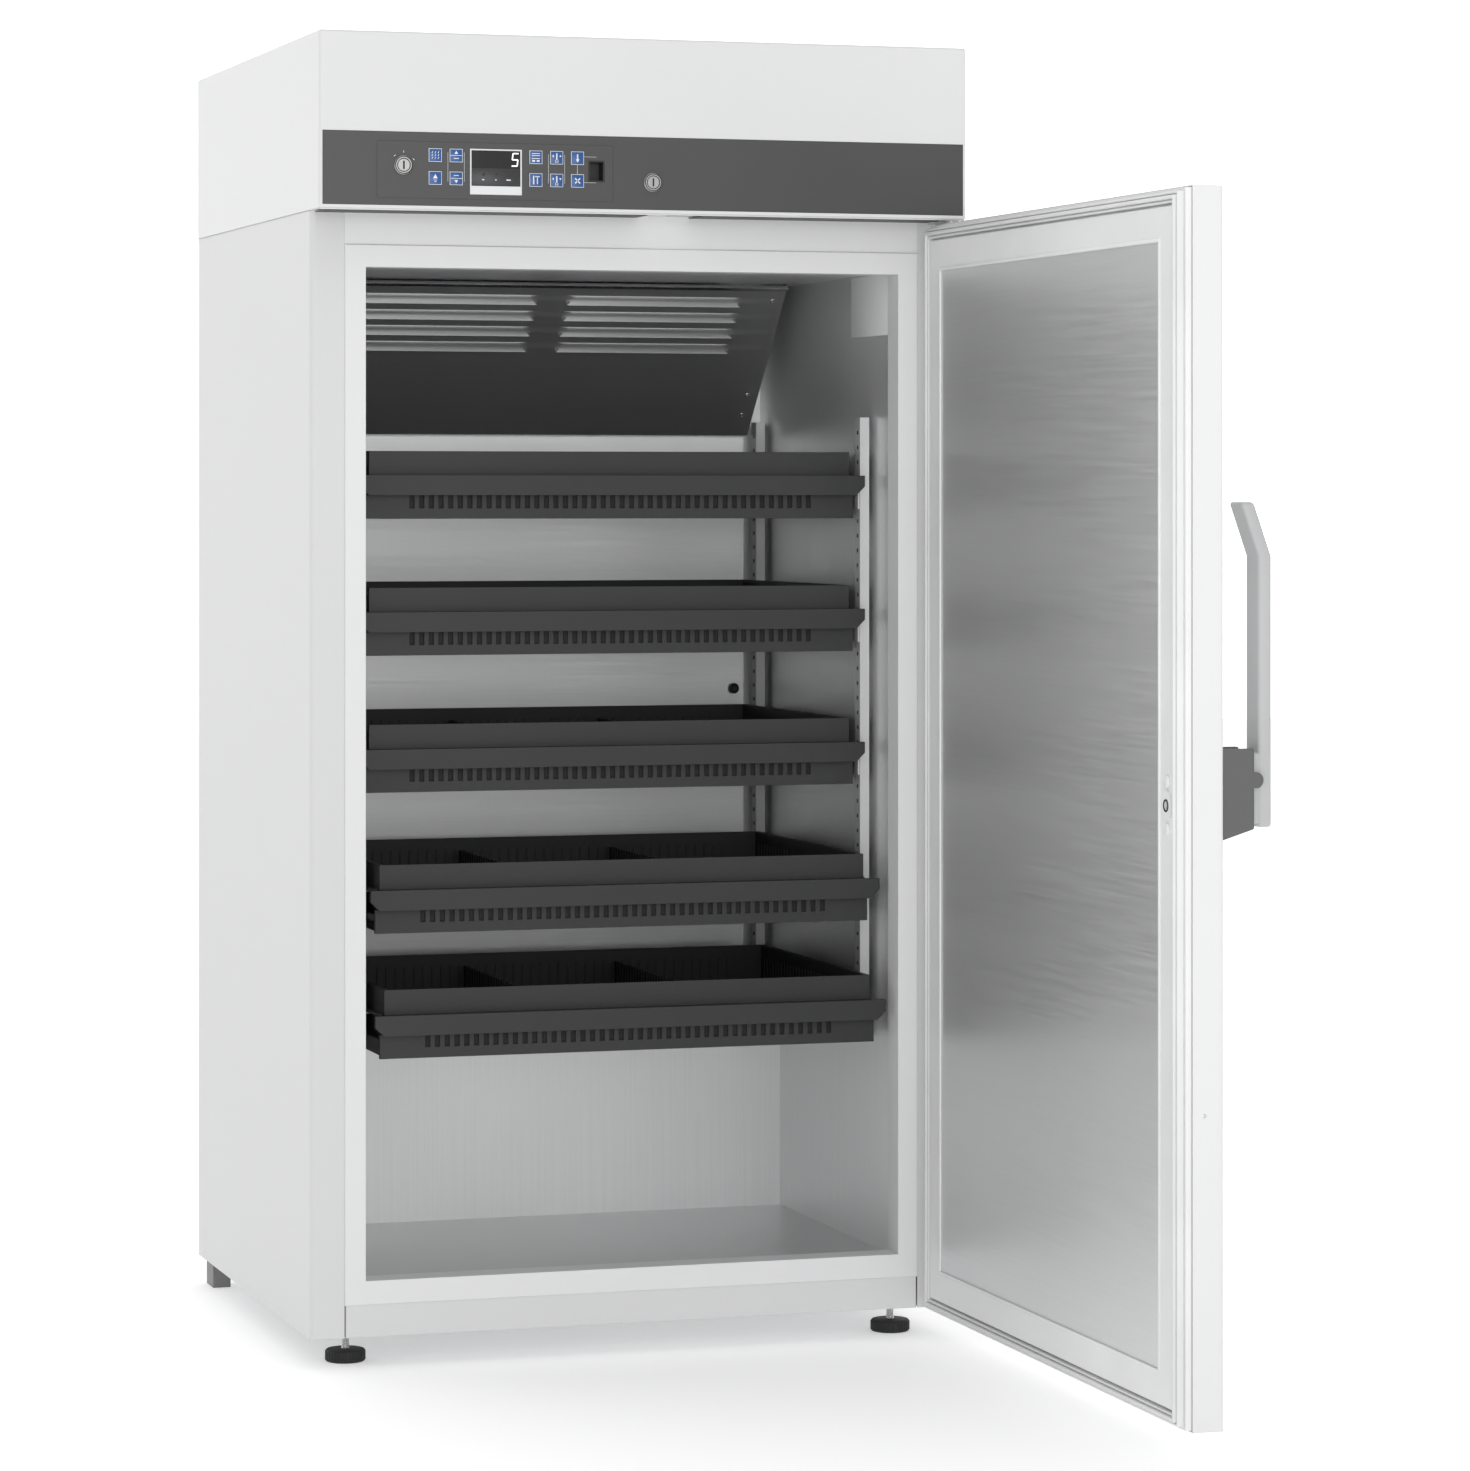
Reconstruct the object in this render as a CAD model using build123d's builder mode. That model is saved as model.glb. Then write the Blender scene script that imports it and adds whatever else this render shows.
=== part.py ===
from build123d import *
import os

os.makedirs("parts", exist_ok=True)

# Cabinet body, in millimetres; the origin is on the floor under the middle of the body
body_width = 660
body_depth = 554
body_bottom = 30.5
body_top = 1128.4
sheet = 1
corner_radius = 5
half_width = body_width / 2
front = -body_depth / 2
back = body_depth / 2

# Front frame, opening and inner space
flange_width = 34
plinth_height = 31.5
header_height = 32.4
frame_side = 21
frame_foot = 23.5
frame_head = 22
frame_proud = 1.5
reveal_depth = 30
reveal_wall = 3
liner_wall = 1
liner_clearance = 1
sill_drop = 4
rear_insulation = 99
machine_depth = 129
compartment_wall = 40
step_top = 285
plinth_gap = 1.5
plinth_thickness = 1.5
base_sheet = 1.5
frame_half = half_width - flange_width
frame_bottom = body_bottom + plinth_height
frame_top = body_top - header_height
opening_half = frame_half - frame_side
opening_bottom = frame_bottom + frame_foot
opening_top = frame_top - frame_head
liner_half = opening_half + liner_clearance
liner_floor_top = opening_bottom - sill_drop
ceiling = opening_top + reveal_wall
rear_wall = body_depth - rear_insulation
bulkhead = back - machine_depth
step_front = body_depth - machine_depth - compartment_wall
compartment_top = step_top - compartment_wall

# Head over the door, with the control strip
head_height = 171.6
head_overhang = 46
head_side = 1.5
head_sheet = 1.2
head_radius = 3
fascia_side = 2
fascia_lift = 3.6
fascia_height = 71
fascia_thickness = 3
fascia_fit = 0.2
fascia_ledge = 5
face = front - head_overhang
fascia_half = half_width - fascia_side
fascia_bottom = body_top + fascia_lift
fascia_top = fascia_bottom + fascia_height
fascia_back = face + fascia_thickness

# Foil and key fields, from the left end and the foot of the control strip
foil_indent = 53.5
foil_rise = 7
foil_width = 237
foil_height = 55
foil_thickness = 0.5
foil_radius = 1.5
foil_left = foil_indent - fascia_half
foil_right = foil_left + foil_width
foil_bottom = fascia_bottom + foil_rise
foil_top = foil_bottom + foil_height
key_size = 13
key_proud = 0.4
left_keys = 57.7
left_key_pitch = 20.9
right_keys = 158.7
right_key_pitch = 21.05
key_top_drop = 13
key_row_pitch = 22.2
left_key_columns = [foil_left + left_keys + left_key_pitch * i for i in range(2)]
right_key_columns = [foil_left + right_keys + right_key_pitch * i for i in range(3)]
key_columns = left_key_columns + right_key_columns
key_rows = [foil_top - key_top_drop - key_row_pitch * i for i in range(2)]

# Display, lamps, card slot and board
display_indent = 92.5
display_rise = 4.6
display_width = 52
display_height = 44.4
display_border = 1.4
display_strip = 8.4
display_proud = 1
lamp_pitch = 12.45
lamp_rise = 19.7
lamp_radius = 1.5
slot_indent = 211.9
slot_rise = 19
slot_opening_width = 16.6
slot_opening_height = 21
slot_depth = 16
slot_wall = 1.6
board_thickness = 1.6
board_setback = 12
board_margin = 10
display_x = foil_left + display_indent + display_width / 2
display_z = foil_bottom + display_rise + display_height / 2
lamp_columns = [display_x - lamp_pitch, display_x, display_x + lamp_pitch]
lamp_z = display_z - display_height / 2 + lamp_rise
slot_x = foil_left + slot_indent + slot_opening_width / 2
slot_z = foil_bottom + slot_rise + slot_opening_height / 2

# Key switch, door lock and its bolt
switch_indent = 26.2
switch_rise = 31.8
lock_x = 3.4
lock_rise = 19.8
bezel_radius = 9.4
bezel_proud = 2.5
sleeve_radius = 8
sleeve_length = 18
barrel_radius = 6
barrel_play = 0.06
crank_radius = 5.66
crank_pin_radius = 1.5
crank_pin_length = 6
crank_disc_radius = 8.5
crank_disc = 2
crank_clearance = 0.6
arm_lip = 3
bolt_side = 22.6
bolt_width = 25
bolt_thickness = 2.5
bolt_gap = 0.6
bolt_shown = 0.8
bolt_travel = 8
bolt_pocket = 3
bolt_top = 16
bolt_set = 1
switch_x = foil_left + switch_indent
switch_z = foil_bottom + switch_rise
lock_z = foil_bottom + lock_rise
bolt_left = lock_x + bolt_side
bolt_right = bolt_left + bolt_width
bolt_y = fascia_back + sleeve_length + crank_disc + bolt_set

# Door, built closed and then turned open
door_angle = 90
door_drop = 1
door_top_gap = 4.9
door_shell_depth = 30
door_sheet = 1
door_radius = 4
hinge_inset = 8.5
hinge_forward = 30
ring_inset = 2
ring_thickness = 6
inner_ring_inset = 17
inner_ring_height = 6
inner_ring_edge = 1
panel_inset = 48
panel_lap = 4
panel_sheet = 1
panel_recess = 1
gasket_inset = 5
gasket_width = 10
gasket_height = 9
gasket_edge = 2
door_bottom = body_bottom - door_drop
door_top = body_top - door_top_gap
axis_x = half_width - hinge_inset
axis_y = front - hinge_forward
shell_back = face + door_shell_depth
ring_front = shell_back + ring_thickness
inner_front = ring_front + inner_ring_height
panel_back = inner_front - panel_recess - panel_sheet

# Hinges
hinge_plate = 3
plate_gap = 1
pin_radius = 4
pin_length = 21
pin_play = 0.05
bush_radius = 7
bush_length = 18
bush_end_gap = 0.5
strap_left = 8
strap_right = 3.5
strap_end_radius = 8
hinge_notch_gap = 0.6
hinge_flange_width = 22
hinge_flange = 46

# Handle with its plunger
handle_inset = 27
bracket_width = 38
cheek = 4
cheek_gap = 0.6
bracket_below = 53
bracket_above = 28
bracket_depth = 32
bracket_taper = 10
bracket_base = 4
tongue_radius = 7
pivot_out = 34
pivot_z = 600
bracket_radius = 2
handle_pin_radius = 3
handle_pin_play = 0.05
lever_stand_off = 22
lever_depth = 23
lever_below = 42
lever_grip = 240
lever_end = 47.5
lever_lean = 13
lever_radius = 3
plunger_below = 22
plunger_radius = 3.5
plunger_play = 0.5
plunger_head_radius = 6
plunger_head = 3
plunger_gap = 1
keeper_width = 20
keeper_height = 27
keeper_thickness = 2
cap_radius = 5
cap_thickness = 1.5
cap_spacing = 42
bracket_bottom = pivot_z - bracket_below
bracket_top = pivot_z + bracket_above
lever_bottom = pivot_z - lever_below
lever_bend = lever_bottom + lever_grip
lever_top = lever_bend + lever_end
plunger_z = pivot_z - plunger_below

# Air guide at the back of the inner space
duct_depth = 12
cover_run = 142
cover_fall = 157
cover_top_gap = 3
cover_side = 19
cover_sheet = 1.2
cover_flange = 10
louvre_length = 193
louvre_space = 31.5
louvre_pitch = 21.7
louvre_first = 21
louvre_rows = 4
louvre_height = 8
louvre_lift = 3
louvre_lap = 2
louvre_tilt = 20
duct_side = 23
duct_lift = 59
duct_sheet = 1.2
plug_side = 12
duct_plug_z = 640
duct_plug_radius = 5
cover_foot_y = rear_wall - duct_depth
cover_top_y = cover_foot_y - cover_run
cover_top_z = ceiling - cover_top_gap
cover_foot_z = cover_top_z - cover_fall
cover_half = liner_half - cover_side
duct_half = liner_half - duct_side
duct_bottom = step_top + duct_lift
duct_plug_x = duct_half - plug_side

# Uprights and rails
upright_side = 5
upright_width = 10
upright_depth = 17
upright_wall = 1.5
upright_front = 76
upright_back_gap = 3
upright_lift = 11
upright_height = 635
hole_pitch = 15.1
hole_width = 6
hole_height = 4
hole_margin = 15
rail_sheet = 1.5
rail_width = 8.8
rail_drop = 30.7
rail_start = 2
rail_gap = 0.3
upright_half = liner_half - upright_side - upright_width
upright_back = cover_foot_y - upright_back_gap - upright_depth
upright_bottom = step_top + upright_lift
upright_top = upright_bottom + upright_height
hole_count = int((upright_height - hole_margin) / hole_pitch)
rail_front = upright_front + rail_start
rail_length = upright_back + upright_depth - rail_front

# Drawers, measured down from their top edge and back from the front of the body
level_1 = 895.4
level_2 = 759.3
level_3 = 623.2
level_4 = 487.2
level_5 = 366.2
pull_4 = 45
pull_5 = 65
drawer_height = 67.5
drawer_front = 84
drawer_rear_gap = 14
drawer_wall = 2.5
upper_side = 9.25
band_drop = 24
band_height = 20
band_forward = 15
band_side = 12
band_wing = 6.4
band_chamfer = 9
ledge_side = 5
ledge_height = 3
groove_side = 12
rib_drop = 49
rib_height = 6
runner_setback = 9
slot_margin = 36
slot_pitch = 9.9
slot_width = 5
slot_height = 13
slot_cut = 1.5
divider_thickness = 2
divider_height = 52
divider_offset = 83
divider_gap = 0.3
drawer_levels = [level_1, level_2, level_3, level_4, level_5]
drawer_pulls = [0, 0, 0, pull_4, pull_5]
drawer_length = cover_foot_y - drawer_rear_gap - drawer_front
upper_half = upright_half - upper_side
band_half = liner_half - band_side
ledge_half = upright_half - ledge_side
groove_half = upright_half - groove_side
slot_count = int(2 * (groove_half - slot_margin) / slot_pitch)

# Fan and cooler
fan_radius = 42
fan_depth = 25
fan_frame = 3
fan_behind = 8
fan_gap = 1.5
fan_hub = 18
fan_strut = 8
rotor_clearance = 1
rotor_setback = 3
blade_count = 5
blade_width = 20
blade_thickness = 1.5
blade_pitch = 35
axle_radius = 2
axle_play = 0.05
coil_rear_gap = 10
coil_depth = 40
coil_top_gap = 9
coil_height = 46
coil_side = 56
fin_pitch = 22
fin_thickness = 2
coil_core = 24
coil_front = rear_wall - coil_rear_gap - coil_depth
coil_bottom = ceiling - coil_top_gap - coil_height
coil_half = liner_half - coil_side

# Machine compartment
compressor_x = 120
compressor_clearance = 8.5
compressor_height = 150
compressor_dome = 45
compressor_foot = 8
compressor_radius = machine_depth / 2 - sheet - compressor_clearance
condenser_x = -160
condenser_width = 240
condenser_height = 170
condenser_depth = 60
condenser_lift = 6
vent_count = 14
vent_pitch = 12
vent_width = 200
vent_height = 4
inlet_side = 80
inlet_z = 85
inlet_width = 27
inlet_height = 20
inlet_flange = 4
inlet_depth = 22
inlet_rim = 2
blade_setback = 6
contact_pitch = 7
contact_step = 3
contact_width = 2
contact_height = 4
inlet_x = half_width - inlet_side

# Feet
foot_side = 46
foot_setback = 49
pad_radius = 20
pad_height = 12
pad_edge = 2
spindle_radius = 4
spindle_top = 46
spindle_play = 0.5
nut_width = 15
nut_height = 6
rear_foot_side = 8
rear_foot_width = 19
rear_foot_back = 4
rear_foot_length = 35
foot_x = half_width - foot_side
rear_foot_outer = half_width - rear_foot_side
rear_foot_front = body_depth - rear_foot_back - rear_foot_length


# Outer walls: each is one folded sheet with a front flange
with BuildPart() as side_panel_left:
    with BuildSketch(Plane.XY.offset(body_bottom)):
        with BuildLine():
            FilletPolyline(
                (-frame_half, front + sheet / 2),
                (-half_width + sheet / 2, front + sheet / 2),
                (-half_width + sheet / 2, back),
                radius=corner_radius,
            )
        trace(line_width=sheet)
    extrude(amount=body_top - body_bottom)
side_panel_left.part.label = "side_panel_left"
export_step(side_panel_left.part, "parts/side_panel_left.step")

# The right wall has a notch where the lower hinge comes through
notch_width = strap_left + strap_right + 2 * hinge_notch_gap
notch_x = axis_x + (strap_right - strap_left) / 2
with BuildPart() as side_panel_right:
    add(side_panel_left.part.mirror(Plane.YZ))
    with BuildSketch(Plane.XY.offset(body_bottom)):
        with Locations((notch_x, front + sheet / 2)):
            Rectangle(notch_width, 2 * sheet)
    extrude(amount=hinge_plate + hinge_notch_gap, mode=Mode.SUBTRACT)
side_panel_right.part.label = "side_panel_right"
export_step(side_panel_right.part, "parts/side_panel_right.step")

# Back sheet: it folds in over the machine compartment and down as its inner wall
inner_half = half_width - sheet
with BuildPart() as rear_panel:
    with BuildSketch(Plane.YZ.offset(-inner_half)):
        with BuildLine():
            Polyline(
                (back - sheet / 2, body_top),
                (back - sheet / 2, compartment_top + sheet / 2),
                (bulkhead + sheet / 2, compartment_top + sheet / 2),
                (bulkhead + sheet / 2, body_bottom + base_sheet),
            )
        trace(line_width=sheet)
    extrude(amount=2 * inner_half)
rear_panel.part.label = "rear_panel"
export_step(rear_panel.part, "parts/rear_panel.step")

# Deck with the header that closes the front above the frame
with BuildPart() as top_deck:
    with BuildSketch(Plane.XY.offset(body_top - sheet)):
        with Locations((0, (front + back) / 2)):
            Rectangle(2 * inner_half, body_depth - 2 * sheet)
    extrude(amount=sheet)
    chamfer(top_deck.edges().filter_by(Axis.Z).group_by(Axis.Y)[0], length=corner_radius)
    with BuildSketch(Plane.XY.offset(frame_top)):
        with Locations((0, front + sheet / 2)):
            Rectangle(2 * frame_half, sheet)
    extrude(amount=body_top - frame_top)
top_deck.part.label = "top_deck"
export_step(top_deck.part, "parts/top_deck.step")

# Base sheet: cut clear of the lower hinge, bored for the feet
base_front = front + plinth_thickness
with BuildPart() as base_pan:
    with BuildSketch(Plane.XY.offset(body_bottom)):
        with Locations((0, (base_front + back) / 2)):
            Rectangle(2 * inner_half, back - base_front)
        with Locations((inner_half - hinge_flange_width, base_front)):
            Rectangle(2 * hinge_flange_width, 4 * hinge_plate, mode=Mode.SUBTRACT)
        with Locations((-foot_x, front + foot_setback), (foot_x, front + foot_setback)):
            Circle(spindle_radius + spindle_play, mode=Mode.SUBTRACT)
    extrude(amount=base_sheet)
    chamfer(base_pan.edges().filter_by(Axis.Z).group_by(Axis.X)[0].sort_by(Axis.Y)[0], length=corner_radius)
base_pan.part.label = "base_pan"
export_step(base_pan.part, "parts/base_pan.step")

# Inner box with the step at the back
liner_front = front + reveal_depth
floor_bottom = liner_floor_top - liner_wall
with BuildPart() as liner:
    with BuildSketch(Plane.YZ.offset(-liner_half - liner_wall)):
        with BuildLine():
            Polyline(
                (liner_front, floor_bottom - liner_wall),
                (front + step_front + liner_wall, floor_bottom - liner_wall),
                (front + step_front + liner_wall, step_top - liner_wall),
                (front + rear_wall + liner_wall, step_top - liner_wall),
                (front + rear_wall + liner_wall, ceiling + liner_wall),
                (liner_front, ceiling + liner_wall),
                close=True,
            )
        make_face()
    extrude(amount=2 * (liner_half + liner_wall))
    with BuildSketch(Plane.YZ.offset(-liner_half)):
        with BuildLine():
            Polyline(
                (liner_front - 1, floor_bottom),
                (front + step_front, floor_bottom),
                (front + step_front, step_top),
                (front + rear_wall, step_top),
                (front + rear_wall, ceiling),
                (liner_front - 1, ceiling),
                close=True,
            )
        make_face()
    extrude(amount=2 * liner_half, mode=Mode.SUBTRACT)
liner.part.label = "liner"
export_step(liner.part, "parts/liner.step")

with BuildPart() as liner_floor:
    with BuildSketch(Plane.XY.offset(floor_bottom)):
        with Locations((0, (liner_front + front + step_front) / 2)):
            Rectangle(2 * liner_half, step_front - reveal_depth)
    extrude(amount=liner_wall)
liner_floor.part.label = "liner_floor"
export_step(liner_floor.part, "parts/liner_floor.step")

# Raised frame round the opening, with the reveal behind it
opening_height = opening_top - opening_bottom
opening_middle = (opening_top + opening_bottom) / 2
with BuildPart() as front_frame:
    with BuildSketch(Plane.XZ.offset(-front + frame_proud)):
        with Locations((0, (frame_bottom + frame_top) / 2)):
            Rectangle(2 * frame_half, frame_top - frame_bottom)
    extrude(amount=-frame_proud - plinth_thickness)
    chamfer(front_frame.edges().group_by(Axis.Y)[0], length=frame_proud / 2)
    with BuildSketch(Plane.XZ.offset(-front - plinth_thickness)):
        with Locations((0, opening_middle)):
            Rectangle(2 * (opening_half + reveal_wall), opening_height + 2 * reveal_wall)
    extrude(amount=-(reveal_depth - plinth_thickness))
    with BuildSketch(Plane.XZ.offset(-front + 2 * frame_proud)):
        with Locations((0, opening_middle)):
            Rectangle(2 * opening_half, opening_height)
    extrude(amount=-2 * reveal_depth, mode=Mode.SUBTRACT)
front_frame.part.label = "front_frame"
export_step(front_frame.part, "parts/front_frame.step")

plinth_half = frame_half - plinth_gap
with BuildPart() as plinth_panel:
    with BuildSketch(Plane.XY.offset(body_bottom)):
        with Locations((0, front + plinth_thickness / 2)):
            Rectangle(2 * plinth_half, plinth_thickness)
    extrude(amount=frame_bottom - body_bottom)
plinth_panel.part.label = "plinth_panel"
export_step(plinth_panel.part, "parts/plinth_panel.step")

# Foam that fills the space between the outer sheets and the inner box
foam_bottom = body_bottom + base_sheet
with BuildPart() as cabinet_insulation:
    with BuildSketch(Plane.YZ.offset(-inner_half)):
        with BuildLine():
            Polyline(
                (base_front, foam_bottom),
                (bulkhead, foam_bottom),
                (bulkhead, compartment_top + sheet),
                (back - sheet, compartment_top + sheet),
                (back - sheet, body_top - sheet),
                (base_front, body_top - sheet),
                close=True,
            )
        make_face()
    extrude(amount=2 * inner_half)
    chamfer(cabinet_insulation.edges().filter_by(Axis.Z).group_by(Axis.Y)[0], length=corner_radius)
    with BuildSketch(Plane.XZ.offset(-front)):
        with Locations((0, opening_middle)):
            Rectangle(2 * (opening_half + reveal_wall), opening_height + 2 * reveal_wall)
    extrude(amount=-reveal_depth, mode=Mode.SUBTRACT)
    with BuildSketch(Plane.YZ.offset(-liner_half - liner_wall)):
        with BuildLine():
            Polyline(
                (liner_front, floor_bottom - liner_wall),
                (front + step_front + liner_wall, floor_bottom - liner_wall),
                (front + step_front + liner_wall, step_top - liner_wall),
                (front + rear_wall + liner_wall, step_top - liner_wall),
                (front + rear_wall + liner_wall, ceiling + liner_wall),
                (liner_front, ceiling + liner_wall),
                close=True,
            )
        make_face()
    extrude(amount=2 * (liner_half + liner_wall), mode=Mode.SUBTRACT)
    # Room for the lower hinge and for the spindles of the feet
    with BuildSketch(Plane.XY.offset(body_bottom)):
        with Locations((inner_half - hinge_flange_width, base_front)):
            Rectangle(2 * hinge_flange_width, 4 * hinge_plate)
    extrude(amount=hinge_flange + hinge_notch_gap, mode=Mode.SUBTRACT)
    with BuildSketch(Plane.XY.offset(body_bottom)):
        with Locations((-foot_x, front + foot_setback), (foot_x, front + foot_setback)):
            Circle(spindle_radius + spindle_play)
    extrude(amount=spindle_top - body_bottom + spindle_play, mode=Mode.SUBTRACT)
cabinet_insulation.part.label = "cabinet_insulation"
export_step(cabinet_insulation.part, "parts/cabinet_insulation.step")

# Head cover: a hood open below, with a floor only under the overhang
head_half = half_width + head_side
head_depth = body_depth + head_overhang
fascia_middle = (fascia_top + fascia_bottom) / 2
with BuildPart() as head_cover:
    with BuildSketch(Plane.XY.offset(body_top)):
        with Locations((0, face + head_depth / 2)):
            Rectangle(2 * head_half, head_depth)
    extrude(amount=head_height)
    fillet(head_cover.edges().filter_by(Axis.Z), radius=head_radius)
    chamfer(head_cover.edges().group_by(Axis.Z)[-1], length=head_radius / 2)
    with BuildSketch(Plane.XY.offset(body_top + head_sheet)):
        with Locations((0, face + head_depth / 2)):
            Rectangle(2 * (head_half - head_sheet), head_depth - 2 * head_sheet)
    extrude(amount=head_height - 2 * head_sheet, mode=Mode.SUBTRACT)
    with BuildSketch(Plane.XY.offset(body_top)):
        with Locations((0, (front + back) / 2)):
            Rectangle(2 * (head_half - head_sheet), body_depth - 2 * head_sheet)
    extrude(amount=head_sheet, mode=Mode.SUBTRACT)
    # Ledge behind the control strip
    with BuildSketch(Plane.XZ.offset(-fascia_back)):
        with Locations((0, fascia_middle)):
            Rectangle(2 * (head_half - head_sheet), fascia_height + 2 * fascia_ledge)
    extrude(amount=-head_sheet)
    with BuildSketch(Plane.XZ.offset(-fascia_back)):
        with Locations((0, fascia_middle)):
            Rectangle(2 * (fascia_half - fascia_ledge), fascia_height - 2 * fascia_ledge)
    extrude(amount=-head_sheet, mode=Mode.SUBTRACT)
    with BuildSketch(Plane.XZ.offset(-face)):
        with Locations((0, fascia_middle)):
            Rectangle(2 * (fascia_half + fascia_fit), fascia_height + 2 * fascia_fit)
    extrude(amount=-fascia_thickness, mode=Mode.SUBTRACT)
    # Slots in the floor for the lock bolt and for the upper hinge
    bolt_middle = (bolt_left + bolt_right) / 2
    with BuildSketch(Plane.XY.offset(body_top)):
        with Locations((bolt_middle, bolt_y + bolt_thickness / 2)):
            Rectangle(bolt_width + 2 * bolt_gap, bolt_thickness + 2 * bolt_gap)
        with Locations((inner_half - hinge_flange_width / 2, front)):
            Rectangle(hinge_flange_width + 2 * bolt_gap, 2 * (hinge_plate + bolt_gap))
    extrude(amount=head_sheet, mode=Mode.SUBTRACT)
head_cover.part.label = "head_cover"
export_step(head_cover.part, "parts/head_cover.step")

# Control strip with its bores and windows
with BuildPart() as control_fascia:
    with BuildSketch(Plane.XZ.offset(-face)):
        with Locations((0, fascia_middle)):
            Rectangle(2 * fascia_half, fascia_height)
        with Locations((switch_x, switch_z), (lock_x, lock_z)):
            Circle(sleeve_radius, mode=Mode.SUBTRACT)
        with Locations((display_x, display_z)):
            Rectangle(display_width, display_height, mode=Mode.SUBTRACT)
        with Locations((slot_x, slot_z)):
            Rectangle(slot_opening_width, slot_opening_height, mode=Mode.SUBTRACT)
    extrude(amount=-fascia_thickness)
control_fascia.part.label = "control_fascia"
export_step(control_fascia.part, "parts/control_fascia.step")

# One foil carries the ten key fields, which are raised areas of it
with BuildPart() as keypad_foil:
    with BuildSketch(Plane.XZ.offset(-face)):
        with Locations(((foil_left + foil_right) / 2, (foil_bottom + foil_top) / 2)):
            RectangleRounded(foil_width, foil_height, foil_radius)
        with Locations((switch_x, switch_z)):
            Circle(bezel_radius, mode=Mode.SUBTRACT)
        with Locations((display_x, display_z)):
            Rectangle(display_width, display_height, mode=Mode.SUBTRACT)
        with Locations((slot_x, slot_z)):
            Rectangle(slot_opening_width, slot_opening_height, mode=Mode.SUBTRACT)
    extrude(amount=foil_thickness)
    with BuildSketch(Plane.XZ.offset(-face + foil_thickness)):
        with Locations(*[(x, z) for x in key_columns for z in key_rows]):
            Rectangle(key_size, key_size)
    extrude(amount=key_proud)
keypad_foil.part.label = "keypad_foil"
export_step(keypad_foil.part, "parts/keypad_foil.step")

# Display: frame with the pale strip below it, window, and three lamps
window_height = display_height - display_border - display_strip
window_width = display_width - 2 * display_border
window_z = display_z + (display_strip - display_border) / 2
display_front = face - display_proud
with BuildPart() as display_frame:
    with BuildSketch(Plane.XZ.offset(-display_front)):
        with Locations((display_x, display_z)):
            Rectangle(display_width, display_height)
        with Locations((display_x, window_z)):
            Rectangle(window_width, window_height, mode=Mode.SUBTRACT)
    extrude(amount=-display_proud - fascia_thickness)
display_frame.part.label = "display_frame"
export_step(display_frame.part, "parts/display_frame.step")

with BuildPart() as display_window:
    with BuildSketch(Plane.XZ.offset(-face)):
        with Locations((display_x, window_z)):
            Rectangle(window_width, window_height)
        with Locations(*[(x, lamp_z) for x in lamp_columns]):
            Circle(lamp_radius, mode=Mode.SUBTRACT)
    extrude(amount=-fascia_thickness)
display_window.part.label = "display_window"
export_step(display_window.part, "parts/display_window.step")

with BuildPart() as indicator_lamps:
    with BuildSketch(Plane.XZ.offset(-face + display_proud / 2)):
        with Locations(*[(x, lamp_z) for x in lamp_columns]):
            Circle(lamp_radius)
    extrude(amount=-fascia_thickness)
indicator_lamps.part.label = "indicator_lamps"
export_step(indicator_lamps.part, "parts/indicator_lamps.step")

with BuildPart() as card_slot:
    with BuildSketch(Plane.XZ.offset(-face + foil_thickness)):
        with Locations((slot_x, slot_z)):
            Rectangle(slot_opening_width, slot_opening_height)
    extrude(amount=-slot_depth)
    with BuildSketch(Plane.XZ.offset(-face + foil_thickness)):
        with Locations((slot_x, slot_z)):
            Rectangle(slot_opening_width - 2 * slot_wall, slot_opening_height - 2 * slot_wall)
    extrude(amount=slot_wall - slot_depth, mode=Mode.SUBTRACT)
card_slot.part.label = "card_slot"
export_step(card_slot.part, "parts/card_slot.step")

# Board behind the keys, clear of the switch sleeve
board_left = switch_x + sleeve_radius + board_margin
board_right = slot_x - slot_opening_width / 2 - slot_wall
with BuildPart() as control_board:
    with BuildSketch(Plane.XZ.offset(-fascia_back - board_setback)):
        with Locations(((board_left + board_right) / 2, fascia_middle)):
            Rectangle(board_right - board_left, fascia_height - 2 * board_margin)
    extrude(amount=-board_thickness)
    with BuildSketch(Plane.XZ.offset(-fascia_back)):
        with Locations((display_x, display_z)):
            Rectangle(display_width, display_height - 2 * board_margin)
    extrude(amount=-board_setback)
control_board.part.label = "control_board"
export_step(control_board.part, "parts/control_board.step")

# Sleeves with a rim, for the switch and for the lock
barrel_bore = barrel_radius + barrel_play
with BuildPart() as key_switch_bezel:
    with BuildSketch(Plane.XZ.offset(-face)):
        with Locations((switch_x, switch_z)):
            Circle(bezel_radius)
    extrude(amount=bezel_proud)
    chamfer(key_switch_bezel.edges().filter_by(GeomType.CIRCLE).group_by(Axis.Y)[0], length=bezel_proud / 2)
    with BuildSketch(Plane.XZ.offset(-face)):
        with Locations((switch_x, switch_z)):
            Circle(sleeve_radius)
    extrude(amount=-fascia_thickness - sleeve_length)
    with BuildSketch(Plane.XZ.offset(-face + bezel_proud)):
        with Locations((switch_x, switch_z)):
            Circle(barrel_bore)
    extrude(amount=-bezel_proud - fascia_thickness - sleeve_length, mode=Mode.SUBTRACT)
key_switch_bezel.part.label = "key_switch_bezel"
export_step(key_switch_bezel.part, "parts/key_switch_bezel.step")

with BuildPart() as lock_rosette:
    add(key_switch_bezel.part.moved(Location((lock_x - switch_x, 0, lock_z - switch_z))))
lock_rosette.part.label = "lock_rosette"
export_step(lock_rosette.part, "parts/lock_rosette.step")

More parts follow.
